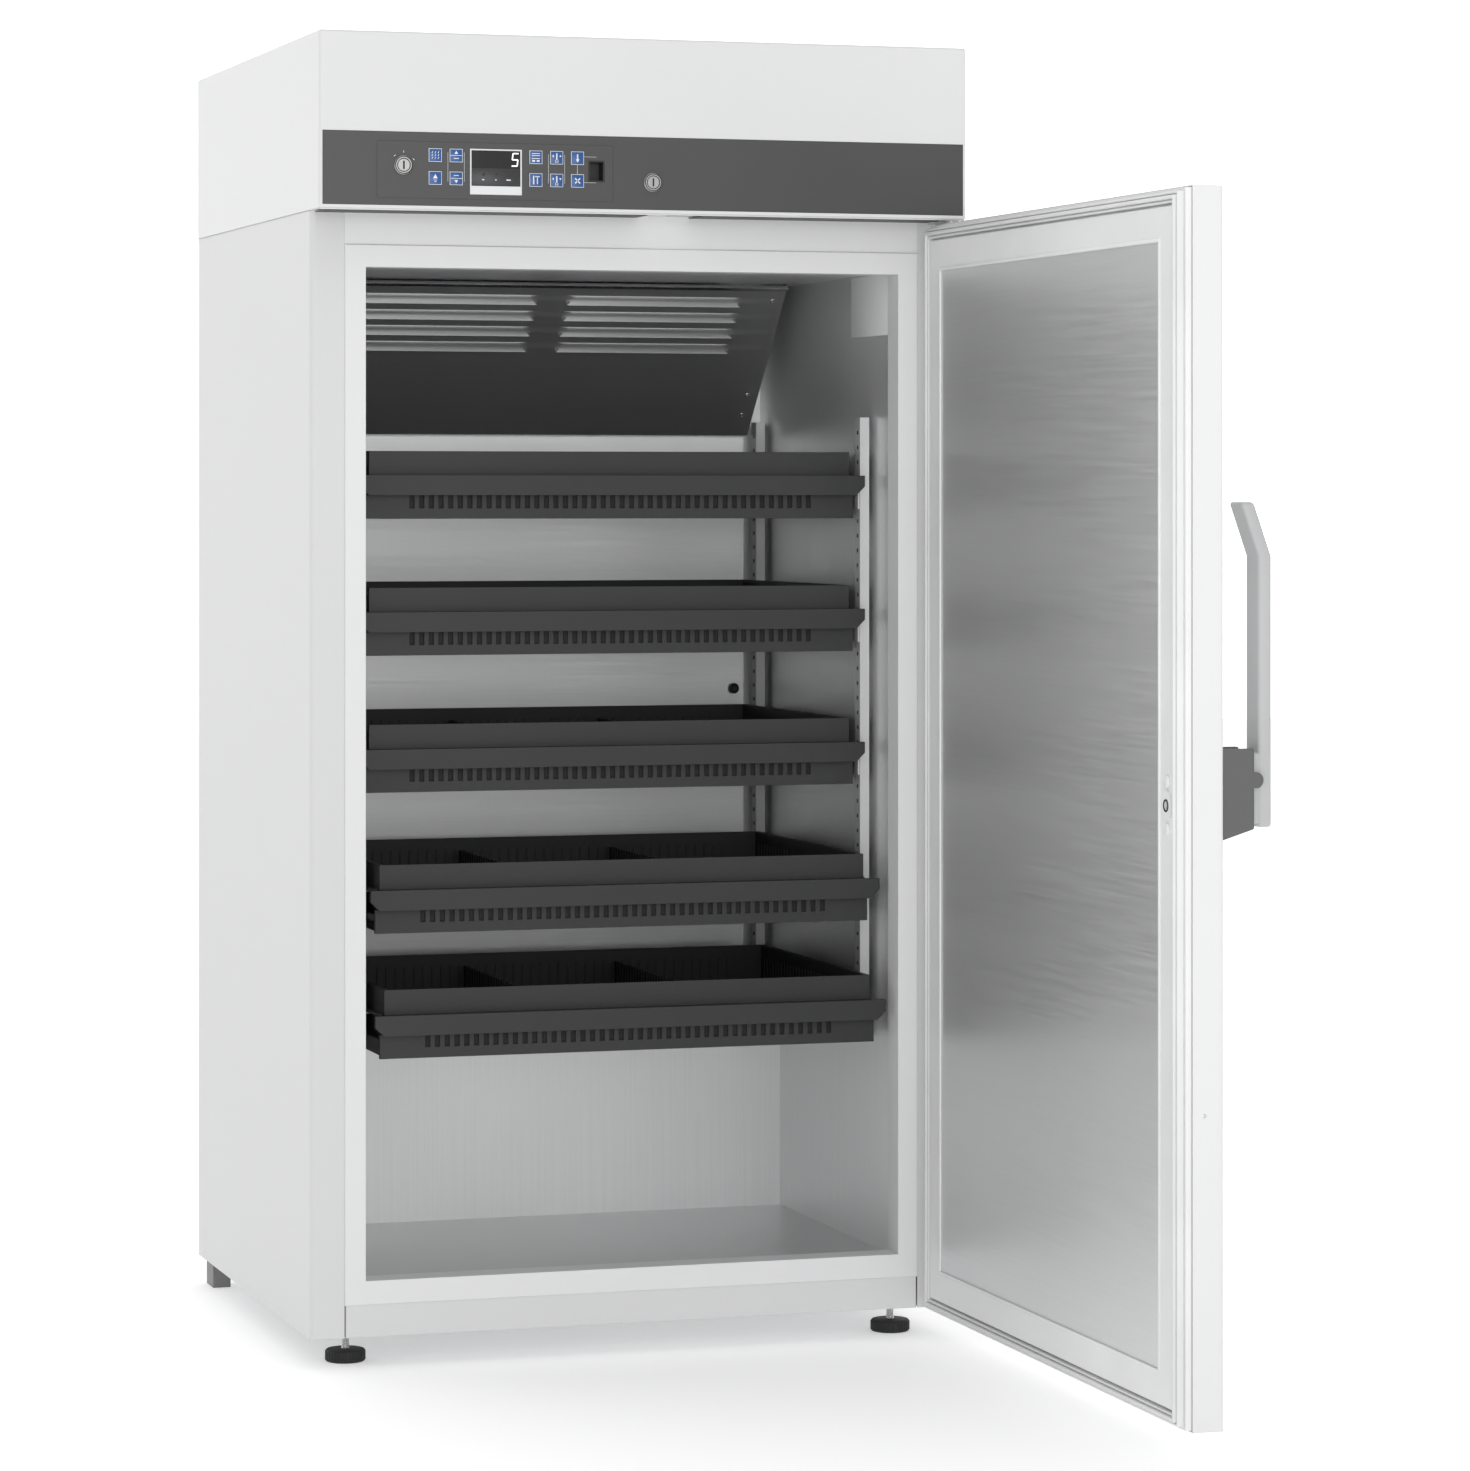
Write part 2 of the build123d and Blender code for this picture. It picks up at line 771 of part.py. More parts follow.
# Barrels with a keyway in front
keyway_width = 1.6
keyway_height = 8
keyway_depth = 6
with BuildPart() as key_switch_barrel:
    with BuildSketch(Plane.XZ.offset(-face + bezel_proud)):
        with Locations((switch_x, switch_z)):
            Circle(barrel_radius)
    extrude(amount=-bezel_proud - fascia_thickness - sleeve_length)
    with BuildSketch(Plane.XZ.offset(-face + bezel_proud)):
        with Locations((switch_x, switch_z)):
            Rectangle(keyway_width, keyway_height)
    extrude(amount=-keyway_depth, mode=Mode.SUBTRACT)
key_switch_barrel.part.label = "key_switch_barrel"
export_step(key_switch_barrel.part, "parts/key_switch_barrel.step")

# The lock barrel ends in a crank whose pin lifts and drops the bolt
crank_side = crank_radius * 2 ** -0.5
disc_front = fascia_back + sleeve_length + bolt_gap
with BuildPart() as lock_barrel:
    with BuildSketch(Plane.XZ.offset(-face + bezel_proud)):
        with Locations((lock_x, lock_z)):
            Circle(barrel_radius)
    extrude(amount=-bezel_proud - fascia_thickness - sleeve_length - bolt_gap)
    with BuildSketch(Plane.XZ.offset(-face + bezel_proud)):
        with Locations((lock_x, lock_z)):
            Rectangle(keyway_width, keyway_height)
    extrude(amount=-keyway_depth, mode=Mode.SUBTRACT)
    with BuildSketch(Plane.XZ.offset(-disc_front)):
        with Locations((lock_x, lock_z)):
            Circle(crank_disc_radius)
    extrude(amount=-crank_disc + bolt_gap)
    with BuildSketch(Plane.XZ.offset(-disc_front)):
        with Locations((lock_x + crank_side, lock_z + crank_side)):
            Circle(crank_pin_radius)
    extrude(amount=-crank_pin_length)
lock_barrel.part.label = "lock_barrel"
export_step(lock_barrel.part, "parts/lock_barrel.step")

bolt_end = body_top - bolt_shown
pin_z = lock_z + crank_side
arm_left = lock_x + crank_side - crank_pin_radius - crank_clearance - arm_lip
with BuildPart() as lock_bolt:
    with BuildSketch(Plane.XZ.offset(-bolt_y)):
        with Locations((bolt_middle, (bolt_end + pin_z + bolt_top / 2) / 2)):
            Rectangle(bolt_width, pin_z + bolt_top / 2 - bolt_end)
        with Locations(((arm_left + bolt_right) / 2, pin_z)):
            Rectangle(bolt_right - arm_left, bolt_top)
        with Locations((lock_x + (crank_side + crank_radius) / 2, pin_z)):
            Rectangle(
                crank_radius - crank_side + 2 * (crank_pin_radius + crank_clearance),
                2 * (crank_pin_radius + crank_clearance),
                mode=Mode.SUBTRACT,
            )
    extrude(amount=-bolt_thickness)
lock_bolt.part.label = "lock_bolt"
export_step(lock_bolt.part, "parts/lock_bolt.step")

# Drawer tray: walls, running ledges, grip band with open underside, and slots in front
tray_back = front + drawer_front + drawer_length
tray_front = front + drawer_front
tray_middle = (tray_front + tray_back) / 2
runner_middle = (tray_front + runner_setback + tray_back) / 2
runner_length = drawer_length - runner_setback
lower_top = band_drop + band_height
with BuildPart() as drawer_tray:
    with BuildSketch(Plane.XY.offset(-drawer_height)):
        with Locations((0, tray_middle)):
            Rectangle(2 * groove_half, drawer_length)
    extrude(amount=drawer_height)
    with BuildSketch(Plane.XY.offset(-band_drop)):
        with Locations((0, tray_middle)):
            Rectangle(2 * upper_half, drawer_length)
    extrude(amount=band_drop)
    with BuildSketch(Plane.XY.offset(-band_drop - ledge_height)):
        with Locations((0, runner_middle)):
            Rectangle(2 * ledge_half, runner_length)
    extrude(amount=ledge_height)
    with BuildSketch(Plane.XY.offset(-rib_drop - rib_height)):
        with Locations((0, runner_middle)):
            Rectangle(2 * ledge_half, runner_length)
    extrude(amount=rib_height)
    with BuildSketch(Plane.XY.offset(-drawer_height)):
        with Locations((0, tray_front + drawer_wall)):
            Rectangle(2 * ledge_half, 2 * drawer_wall)
    extrude(amount=drawer_height - lower_top)
    with BuildSketch(Plane.XY.offset(-lower_top)):
        with Locations((0, tray_front + (drawer_wall - band_forward) / 2)):
            Rectangle(2 * upper_half, band_forward + drawer_wall)
    extrude(amount=band_height)
    # Front lip of the band: wider than the tray, its lower corners cut off
    with BuildSketch(Plane.XZ.offset(band_forward - tray_front)) as band_lip:
        with Locations((0, band_height / 2 - lower_top)):
            Rectangle(2 * band_half, band_height)
        chamfer(band_lip.vertices().group_by(Axis.Y)[0], length=band_chamfer)
    extrude(amount=-band_wing)
    with BuildSketch(Plane.XY.offset(-lower_top)):
        with Locations((0, tray_front - band_forward / 2 + drawer_wall / 2)):
            Rectangle(2 * (upper_half - drawer_wall), band_forward - drawer_wall)
    extrude(amount=band_height - drawer_wall, mode=Mode.SUBTRACT)
    with BuildSketch(Plane.XY.offset(drawer_wall - drawer_height)):
        with Locations((0, tray_middle)):
            Rectangle(2 * (groove_half - drawer_wall), drawer_length - 2 * drawer_wall)
    extrude(amount=drawer_height, mode=Mode.SUBTRACT)
    with BuildSketch(Plane.XZ.offset(-tray_front)):
        with GridLocations(slot_pitch, 1, slot_count, 1):
            with Locations((0, -lower_top - slot_height / 2)):
                Rectangle(slot_width, slot_height)
    extrude(amount=-slot_cut, mode=Mode.SUBTRACT)
drawer_tray.part.label = "drawer_tray"

with BuildPart() as drawer_divider:
    with BuildSketch(Plane.XY.offset(drawer_wall - drawer_height)):
        with Locations((-divider_offset, tray_middle), (divider_offset, tray_middle)):
            Rectangle(divider_thickness, drawer_length - 2 * drawer_wall - 2 * divider_gap)
    extrude(amount=divider_height)
drawer_divider.part.label = "drawer_divider"

for number, (level, pull) in enumerate(zip(drawer_levels, drawer_pulls), 1):
    place = Location((0, -pull, level))
    tray = drawer_tray.part.moved(place)
    tray.label = f"drawer_tray_{number}"
    export_step(tray, f"parts/drawer_tray_{number}.step")
    dividers = drawer_divider.part.moved(place)
    dividers.label = f"drawer_dividers_{number}"
    export_step(dividers, f"parts/drawer_dividers_{number}.step")

# Uprights: four channels with a row of holes toward the middle
with BuildPart() as uprights:
    with BuildSketch(Plane.XY.offset(upright_bottom)):
        for y in (upright_front, upright_back):
            with Locations((upright_half + upright_width / 2, front + y + upright_depth / 2)):
                Rectangle(upright_width, upright_depth)
            with Locations((upright_half + upright_wall + upright_width / 2, front + y + upright_depth / 2)):
                Rectangle(upright_width, upright_depth - 2 * upright_wall, mode=Mode.SUBTRACT)
    extrude(amount=upright_top - upright_bottom)
    with BuildSketch(Plane.YZ.offset(upright_half)):
        for y in (upright_front, upright_back):
            with Locations((front + y + upright_depth / 2, (upright_bottom + upright_top) / 2)):
                with GridLocations(1, hole_pitch, 1, hole_count):
                    Rectangle(hole_width, hole_height)
    extrude(amount=upright_wall, mode=Mode.SUBTRACT)
    mirror(about=Plane.YZ)
uprights.part.label = "uprights"
export_step(uprights.part, "parts/uprights.step")

# Drawer rails: an angle on the uprights under each running ledge
with BuildPart() as drawer_rails:
    for level in drawer_levels:
        rail_top = level - band_drop - ledge_height - rail_gap
        with BuildSketch(Plane.XY.offset(rail_top - rail_sheet)):
            with Locations((upright_half - rail_width / 2, front + rail_front + rail_length / 2)):
                Rectangle(rail_width, rail_length)
        extrude(amount=rail_sheet)
        with BuildSketch(Plane.XY.offset(rail_top - rail_drop)):
            with Locations((upright_half - rail_sheet / 2, front + rail_front + rail_length / 2)):
                Rectangle(rail_sheet, rail_length)
        extrude(amount=rail_drop)
    mirror(about=Plane.YZ)
drawer_rails.part.label = "drawer_rails"
export_step(drawer_rails.part, "parts/drawer_rails.step")

# Sloping louvred cover in front of the cooler
cover_length = (cover_run**2 + cover_fall**2) ** 0.5
outward = Vector(0, -cover_fall / cover_length, -cover_run / cover_length)
cover_middle = (0, front + (cover_top_y + cover_foot_y) / 2, (cover_top_z + cover_foot_z) / 2)
cover_plane = Plane(origin=cover_middle, x_dir=(1, 0, 0), z_dir=outward)
louvre_column = (louvre_length + louvre_space) / 2
louvre_rows_y = [cover_length / 2 - louvre_first - louvre_pitch * i for i in range(louvre_rows)]
louvre_places = [(x, y) for x in (-louvre_column, louvre_column) for y in louvre_rows_y]
with BuildPart() as evaporator_cover:
    with BuildSketch(cover_plane):
        Rectangle(2 * cover_half, cover_length)
        with Locations(*louvre_places):
            Rectangle(louvre_length, louvre_height, mode=Mode.SUBTRACT)
    extrude(amount=-cover_sheet)
    for x, y in louvre_places:
        with Locations(cover_plane * Location((x, y, louvre_lift / 2 - cover_sheet), (-louvre_tilt, 0, 0))):
            Box(louvre_length, louvre_height + louvre_lap, cover_sheet)
    with BuildSketch(cover_plane.offset(-cover_sheet)):
        with Locations((-cover_half + cover_sheet / 2, 0), (cover_half - cover_sheet / 2, 0)):
            Rectangle(cover_sheet, cover_length - 4 * cover_flange)
    extrude(amount=-cover_flange)
evaporator_cover.part.label = "evaporator_cover"
export_step(evaporator_cover.part, "parts/evaporator_cover.step")

# Duct panel: a shallow pan on the rear wall, with its plug
duct_top = cover_foot_z
duct_front = front + cover_foot_y
duct_back = front + rear_wall
with BuildPart() as rear_duct_panel:
    with BuildSketch(Plane.XY.offset(duct_bottom)):
        with Locations((0, (duct_front + duct_back) / 2)):
            Rectangle(2 * duct_half, duct_back - duct_front)
    extrude(amount=duct_top - duct_bottom - 2 * duct_sheet)
    with BuildSketch(Plane.XY.offset(duct_bottom + duct_sheet)):
        with Locations((0, (duct_front + duct_back) / 2 + duct_sheet)):
            Rectangle(2 * (duct_half - duct_sheet), duct_back - duct_front)
    extrude(amount=duct_top - duct_bottom - 4 * duct_sheet, mode=Mode.SUBTRACT)
    with BuildSketch(Plane.XZ.offset(-duct_front)):
        with Locations((duct_plug_x, duct_plug_z)):
            Circle(duct_plug_radius)
    extrude(amount=duct_sheet)
rear_duct_panel.part.label = "rear_duct_panel"
export_step(rear_duct_panel.part, "parts/rear_duct_panel.step")

# Fan behind the louvred cover: frame with a motor, and a rotor on its axle
fan_outer = fan_radius + fan_gap + fan_frame
fan_plane = cover_plane.offset(-cover_sheet - fan_behind)
with BuildPart() as fan_motor:
    with BuildSketch(fan_plane):
        Circle(fan_outer)
        Circle(fan_radius + fan_gap, mode=Mode.SUBTRACT)
    extrude(amount=-fan_depth)
    with BuildSketch(fan_plane.offset(-fan_depth)):
        Rectangle(2 * fan_outer - fan_frame, fan_strut)
        Rectangle(fan_strut, 2 * fan_outer - fan_frame)
        Circle(fan_hub)
    extrude(amount=fan_frame)
    with BuildSketch(fan_plane.offset(-fan_depth + fan_frame)):
        Circle(axle_radius)
    extrude(amount=fan_depth / 2)
fan_motor.part.label = "fan_motor"
export_step(fan_motor.part, "parts/fan_motor.step")

rotor_back = fan_frame + rotor_clearance
blade_middle = (fan_hub + fan_radius) / 2 - rotor_clearance
with BuildPart() as fan_rotor:
    with BuildSketch(fan_plane.offset(-rotor_setback)):
        Circle(fan_hub)
    extrude(amount=-(fan_depth - rotor_back - rotor_setback))
    for number in range(blade_count):
        turn = Location((0, 0, 0), (0, 0, 360 / blade_count * number))
        with Locations(fan_plane * turn * Location((blade_middle, 0, -fan_depth / 2), (blade_pitch, 0, 0))):
            Box(fan_radius - fan_hub, blade_width, blade_thickness)
    with BuildSketch(fan_plane):
        Circle(axle_radius + axle_play)
    extrude(amount=-fan_depth, mode=Mode.SUBTRACT)
fan_rotor.part.label = "fan_rotor"
export_step(fan_rotor.part, "parts/fan_rotor.step")

# Cooler: a core with fins
with BuildPart() as evaporator:
    with BuildSketch(Plane.XY.offset(coil_bottom)):
        with Locations((0, front + coil_front + coil_depth / 2)):
            Rectangle(2 * coil_half, coil_core)
            with GridLocations(fin_pitch, 1, int(2 * coil_half / fin_pitch), 1):
                Rectangle(fin_thickness, coil_depth)
    extrude(amount=coil_height)
evaporator.part.label = "evaporator"
export_step(evaporator.part, "parts/evaporator.step")

# Machine compartment: compressor, condenser and louvred cover
compartment_middle = (bulkhead + sheet + back - sheet) / 2
with BuildPart() as compressor:
    with BuildSketch(Plane.XZ):
        with BuildLine():
            Polyline(
                (0, 0),
                (compressor_radius - compressor_foot, 0),
                (compressor_radius, compressor_foot),
                (compressor_radius, compressor_height - compressor_dome),
                (compressor_radius - compressor_dome / 2, compressor_height),
                (0, compressor_height),
                close=True,
            )
        make_face()
    revolve(axis=Axis.Z)
    with BuildSketch(Plane.XY.offset(-compressor_foot)):
        RectangleRounded(2.6 * compressor_radius, 1.7 * compressor_radius, compressor_foot)
    extrude(amount=compressor_foot)
compressor_place = Location((compressor_x, compartment_middle, foam_bottom + compressor_foot))
compressor_part = compressor.part.moved(compressor_place)
compressor_part.label = "compressor"
export_step(compressor_part, "parts/compressor.step")

with BuildPart() as condenser:
    with BuildSketch(Plane.XY.offset(foam_bottom + condenser_lift)):
        with Locations((condenser_x, compartment_middle)):
            Rectangle(condenser_width, condenser_depth / 2)
            with GridLocations(condenser_width / 12, 1, 13, 1):
                Rectangle(fin_thickness, condenser_depth)
    extrude(amount=condenser_height)
    with BuildSketch(Plane.XY.offset(foam_bottom)):
        with Locations((condenser_x, compartment_middle)):
            with GridLocations(condenser_width / 2, 1, 2, 1):
                Rectangle(condenser_depth / 3, condenser_depth / 3)
    extrude(amount=condenser_lift)
condenser.part.label = "condenser"
export_step(condenser.part, "parts/condenser.step")

with BuildPart() as machine_cover:
    with BuildSketch(Plane.XZ.offset(-back)):
        with Locations((0, (foam_bottom + compartment_top) / 2)):
            Rectangle(2 * inner_half, compartment_top - foam_bottom)
            with Locations((condenser_x, 0), (compressor_x / 2, 0)):
                with GridLocations(1, vent_pitch, 1, vent_count):
                    Rectangle(vent_width, vent_height, mode=Mode.SUBTRACT)
        with Locations((inlet_x, inlet_z)):
            Rectangle(inlet_width, inlet_height, mode=Mode.SUBTRACT)
    extrude(amount=sheet)
machine_cover.part.label = "machine_cover"
export_step(machine_cover.part, "parts/machine_cover.step")

with BuildPart() as mains_inlet:
    with BuildSketch(Plane.XZ.offset(-back)):
        with Locations((inlet_x, inlet_z)):
            Rectangle(inlet_width + 2 * inlet_flange, inlet_height + 2 * inlet_flange)
    extrude(amount=-inlet_rim)
    with BuildSketch(Plane.XZ.offset(-back)):
        with Locations((inlet_x, inlet_z)):
            Rectangle(inlet_width, inlet_height)
    extrude(amount=inlet_depth)
    with BuildSketch(Plane.XZ.offset(-back - inlet_rim)):
        with Locations((inlet_x, inlet_z)):
            Rectangle(inlet_width - 2 * inlet_rim, inlet_height - 2 * inlet_rim)
    extrude(amount=inlet_depth - inlet_rim, mode=Mode.SUBTRACT)
    # Three contact blades
    with BuildSketch(Plane.XZ.offset(-back + blade_setback)):
        with Locations(
            (inlet_x - contact_pitch, inlet_z - contact_step),
            (inlet_x, inlet_z + contact_step),
            (inlet_x + contact_pitch, inlet_z - contact_step),
        ):
            Rectangle(contact_width, contact_height)
    extrude(amount=inlet_depth - blade_setback)
mains_inlet.part.label = "mains_inlet"
export_step(mains_inlet.part, "parts/mains_inlet.step")

# Hinge brackets, with the pins riveted in them
strap_x = axis_x + (strap_right - strap_left) / 2
strap_width = strap_left + strap_right
lower_flange_width = hinge_flange_width - corner_radius
lower_flange_x = inner_half - corner_radius - lower_flange_width / 2
with BuildPart() as lower_hinge_bracket:
    with BuildSketch(Plane.XY.offset(body_bottom)):
        with Locations((strap_x, (axis_y + front + sheet) / 2)):
            Rectangle(strap_width, front + sheet - axis_y)
        with Locations((axis_x, axis_y)):
            Circle(strap_end_radius)
        with Locations((lower_flange_x, front + sheet + hinge_plate / 2)):
            Rectangle(lower_flange_width, hinge_plate)
        with Locations((axis_x, axis_y)):
            Circle(pin_radius, mode=Mode.SUBTRACT)
    extrude(amount=hinge_plate)
    with BuildSketch(Plane.XY.offset(body_bottom)):
        with Locations((lower_flange_x, front + sheet + hinge_plate / 2)):
            Rectangle(lower_flange_width, hinge_plate)
    extrude(amount=hinge_flange)
lower_hinge_bracket.part.label = "lower_hinge_bracket"
export_step(lower_hinge_bracket.part, "parts/lower_hinge_bracket.step")

upper_plate = door_top + plate_gap
with BuildPart() as upper_hinge_bracket:
    with BuildSketch(Plane.XY.offset(upper_plate)):
        with Locations((strap_x, (axis_y + front) / 2)):
            Rectangle(strap_width, front - axis_y)
        with Locations((axis_x, axis_y)):
            Circle(strap_end_radius)
        with Locations((inner_half - hinge_flange_width / 2, front - hinge_plate / 2)):
            Rectangle(hinge_flange_width, hinge_plate)
        with Locations((axis_x, axis_y)):
            Circle(pin_radius, mode=Mode.SUBTRACT)
    extrude(amount=hinge_plate)
    with BuildSketch(Plane.XY.offset(upper_plate)):
        with Locations((inner_half - hinge_flange_width / 2, front - hinge_plate / 2)):
            Rectangle(hinge_flange_width, hinge_plate)
    extrude(amount=body_top + hinge_plate - upper_plate)
    with BuildSketch(Plane.XY.offset(body_top)):
        with Locations((inner_half - hinge_flange_width / 2, front + hinge_flange / 2)):
            Rectangle(hinge_flange_width, hinge_flange)
    extrude(amount=hinge_plate)
upper_hinge_bracket.part.label = "upper_hinge_bracket"
export_step(upper_hinge_bracket.part, "parts/upper_hinge_bracket.step")

with BuildPart() as hinge_pins:
    with BuildSketch(Plane.XY.offset(body_bottom)):
        with Locations((axis_x, axis_y)):
            Circle(pin_radius)
    extrude(amount=pin_length)
    with BuildSketch(Plane.XY.offset(upper_plate + hinge_plate)):
        with Locations((axis_x, axis_y)):
            Circle(pin_radius)
    extrude(amount=-pin_length)
hinge_pins.part.label = "hinge_pins"
export_step(hinge_pins.part, "parts/hinge_pins.step")

# Feet
with BuildPart() as levelling_feet:
    for x in (-foot_x, foot_x):
        with BuildSketch(Plane.XY):
            with Locations((x, front + foot_setback)):
                Circle(pad_radius)
        extrude(amount=pad_height)
    chamfer(levelling_feet.edges().group_by(Axis.Z)[-1], length=pad_edge)
    with BuildSketch(Plane.XY.offset(pad_height)):
        with Locations((-foot_x, front + foot_setback), (foot_x, front + foot_setback)):
            Circle(spindle_radius)
    extrude(amount=spindle_top - pad_height)
levelling_feet.part.label = "levelling_feet"
export_step(levelling_feet.part, "parts/levelling_feet.step")

with BuildPart() as levelling_nuts:
    with BuildSketch(Plane.XY.offset(body_bottom - nut_height)):
        with Locations((-foot_x, front + foot_setback), (foot_x, front + foot_setback)):
            RegularPolygon(nut_width / 2, 6, major_radius=False)
            Circle(spindle_radius, mode=Mode.SUBTRACT)
    extrude(amount=nut_height)
levelling_nuts.part.label = "levelling_nuts"
export_step(levelling_nuts.part, "parts/levelling_nuts.step")

with BuildPart() as rear_feet:
    foot_middle = rear_foot_outer - rear_foot_width / 2
    with BuildSketch(Plane.XY):
        with Locations(
            (-foot_middle, front + rear_foot_front + rear_foot_length / 2),
            (foot_middle, front + rear_foot_front + rear_foot_length / 2),
        ):
            Rectangle(rear_foot_width, rear_foot_length)
    extrude(amount=body_bottom)
rear_feet.part.label = "rear_feet"
export_step(rear_feet.part, "parts/rear_feet.step")

# Door pieces, each turned open about the hinge pins before it is written
door_axis = Axis((axis_x, axis_y, 0), (0, 0, 1))
door_height = door_top - door_bottom
door_middle = (door_top + door_bottom) / 2
handle_x = handle_inset - half_width
plunger_bore = plunger_radius + plunger_play
notch_left = axis_x - strap_end_radius - hinge_notch_gap
notch_front = axis_y - strap_end_radius - hinge_notch_gap
notch_top = body_bottom + hinge_plate + bush_end_gap

with BuildPart() as door_shell:
    with BuildSketch(Plane.XY.offset(door_bottom)):
        with Locations((0, (face + shell_back) / 2)):
            Rectangle(body_width, door_shell_depth)
    extrude(amount=door_height)
    fillet(door_shell.edges().filter_by(Axis.Z).group_by(Axis.Y)[0], radius=door_radius)
    with BuildSketch(Plane.XZ.offset(-shell_back)):
        with Locations((0, door_middle)):
            Rectangle(body_width - 2 * door_sheet, door_height - 2 * door_sheet)
    extrude(amount=door_shell_depth - 4 * door_sheet, mode=Mode.SUBTRACT)
    # Slot for the lock bolt, bores for the bushes and the plunger, notch round the lower hinge
    with BuildSketch(Plane.XY.offset(door_top)):
        with Locations((bolt_middle, bolt_y + bolt_thickness / 2)):
            Rectangle(bolt_width + 2 * bolt_gap, bolt_thickness + 2 * bolt_gap)
        with Locations((axis_x, axis_y)):
            Circle(bush_radius)
    extrude(amount=-door_sheet, mode=Mode.SUBTRACT)
    with BuildSketch(Plane.XZ.offset(-face)):
        with Locations((handle_x, plunger_z)):
            Circle(plunger_bore)
    extrude(amount=-4 * door_sheet, mode=Mode.SUBTRACT)
    with BuildSketch(Plane.XY.offset(door_bottom)):
        with Locations((notch_left + body_width / 2, notch_front + body_width / 2)):
            Rectangle(body_width, body_width)
    extrude(amount=notch_top - door_bottom, mode=Mode.SUBTRACT)
door_shell_open = door_shell.part.rotate(door_axis, door_angle)
door_shell_open.label = "door_shell"
export_step(door_shell_open, "parts/door_shell.step")

foam_front = face + 4 * door_sheet
with BuildPart() as door_foam:
    with BuildSketch(Plane.XZ.offset(-foam_front)):
        with Locations((0, door_middle)):
            Rectangle(body_width - 2 * door_sheet, door_height - 2 * door_sheet)
    extrude(amount=foam_front - shell_back)
    with BuildSketch(Plane.XZ.offset(-shell_back)):
        with Locations((0, door_middle)):
            Rectangle(
                body_width - 2 * (panel_inset + panel_lap),
                door_height - 2 * (panel_inset + panel_lap),
            )
    extrude(amount=shell_back - panel_back)
    with BuildSketch(Plane.XY.offset(door_top)):
        with Locations((bolt_middle, bolt_y + bolt_thickness / 2)):
            Rectangle(bolt_width + 2 * bolt_gap, bolt_thickness + 2 * bolt_gap)
    extrude(amount=-bolt_travel - bolt_pocket, mode=Mode.SUBTRACT)
    with BuildSketch(Plane.XY.offset(door_top)):
        with Locations((axis_x, axis_y)):
            Circle(bush_radius)
    extrude(amount=-bush_length - pin_length, mode=Mode.SUBTRACT)
    with BuildSketch(Plane.XY.offset(door_bottom)):
        with Locations((axis_x, axis_y)):
            Circle(bush_radius)
    extrude(amount=bush_length + pin_length, mode=Mode.SUBTRACT)
    with BuildSketch(Plane.XY.offset(door_bottom)):
        with Locations((notch_left + body_width / 2, notch_front + body_width / 2)):
            Rectangle(body_width, body_width)
    extrude(amount=notch_top - door_bottom, mode=Mode.SUBTRACT)
    with BuildSketch(Plane.XZ.offset(-face)):
        with Locations((handle_x, plunger_z)):
            Circle(plunger_bore)
    extrude(amount=face - shell_back, mode=Mode.SUBTRACT)
door_foam_open = door_foam.part.rotate(door_axis, door_angle)
door_foam_open.label = "door_foam"
export_step(door_foam_open, "parts/door_foam.step")

with BuildPart() as door_inner_frame:
    with BuildSketch(Plane.XZ.offset(-shell_back)):
        with Locations((0, door_middle)):
            Rectangle(body_width - 2 * ring_inset, door_height - 2 * ring_inset)
    extrude(amount=-ring_thickness)
    with BuildSketch(Plane.XZ.offset(-ring_front)):
        with Locations((0, door_middle)):
            Rectangle(body_width - 2 * inner_ring_inset, door_height - 2 * inner_ring_inset)
    extrude(amount=-inner_ring_height)
    chamfer(door_inner_frame.edges().group_by(Axis.Y)[-1], length=inner_ring_edge)
    with BuildSketch(Plane.XZ.offset(-inner_front)):
        with Locations((0, door_middle)):
            Rectangle(body_width - 2 * panel_inset, door_height - 2 * panel_inset)
    extrude(amount=inner_front - panel_back, mode=Mode.SUBTRACT)
    with BuildSketch(Plane.XZ.offset(-inner_front)):
        with Locations((0, door_middle)):
            Rectangle(
                body_width - 2 * (panel_inset + panel_lap),
                door_height - 2 * (panel_inset + panel_lap),
            )
    extrude(amount=inner_front - shell_back, mode=Mode.SUBTRACT)
    with BuildSketch(Plane.XZ.offset(-shell_back)):
        with Locations((handle_x, plunger_z)):
            Circle(plunger_bore)
    extrude(amount=shell_back - inner_front, mode=Mode.SUBTRACT)
    with BuildSketch(Plane.XY.offset(door_bottom)):
        with Locations((notch_left + body_width / 2, notch_front + body_width / 2)):
            Rectangle(body_width, body_width)
    extrude(amount=notch_top - door_bottom, mode=Mode.SUBTRACT)
door_inner_frame_open = door_inner_frame.part.rotate(door_axis, door_angle)
door_inner_frame_open.label = "door_inner_frame"
export_step(door_inner_frame_open, "parts/door_inner_frame.step")

with BuildPart() as door_panel:
    with BuildSketch(Plane.XZ.offset(-panel_back)):
        with Locations((0, door_middle)):
            Rectangle(body_width - 2 * panel_inset, door_height - 2 * panel_inset)
    extrude(amount=-panel_sheet)
door_panel_open = door_panel.part.rotate(door_axis, door_angle)
door_panel_open.label = "door_panel"
export_step(door_panel_open, "parts/door_panel.step")

with BuildPart() as door_gasket:
    with BuildSketch(Plane.XZ.offset(-ring_front)):
        with Locations((0, door_middle)):
            Rectangle(body_width - 2 * gasket_inset, door_height - 2 * gasket_inset)
            Rectangle(
                body_width - 2 * (gasket_inset + gasket_width),
                door_height - 2 * (gasket_inset + gasket_width),
                mode=Mode.SUBTRACT,
            )
    extrude(amount=-gasket_height)
    chamfer(door_gasket.edges().group_by(Axis.Y)[-1], length=gasket_edge)
door_gasket_open = door_gasket.part.rotate(door_axis, door_angle)
door_gasket_open.label = "door_gasket"
export_step(door_gasket_open, "parts/door_gasket.step")

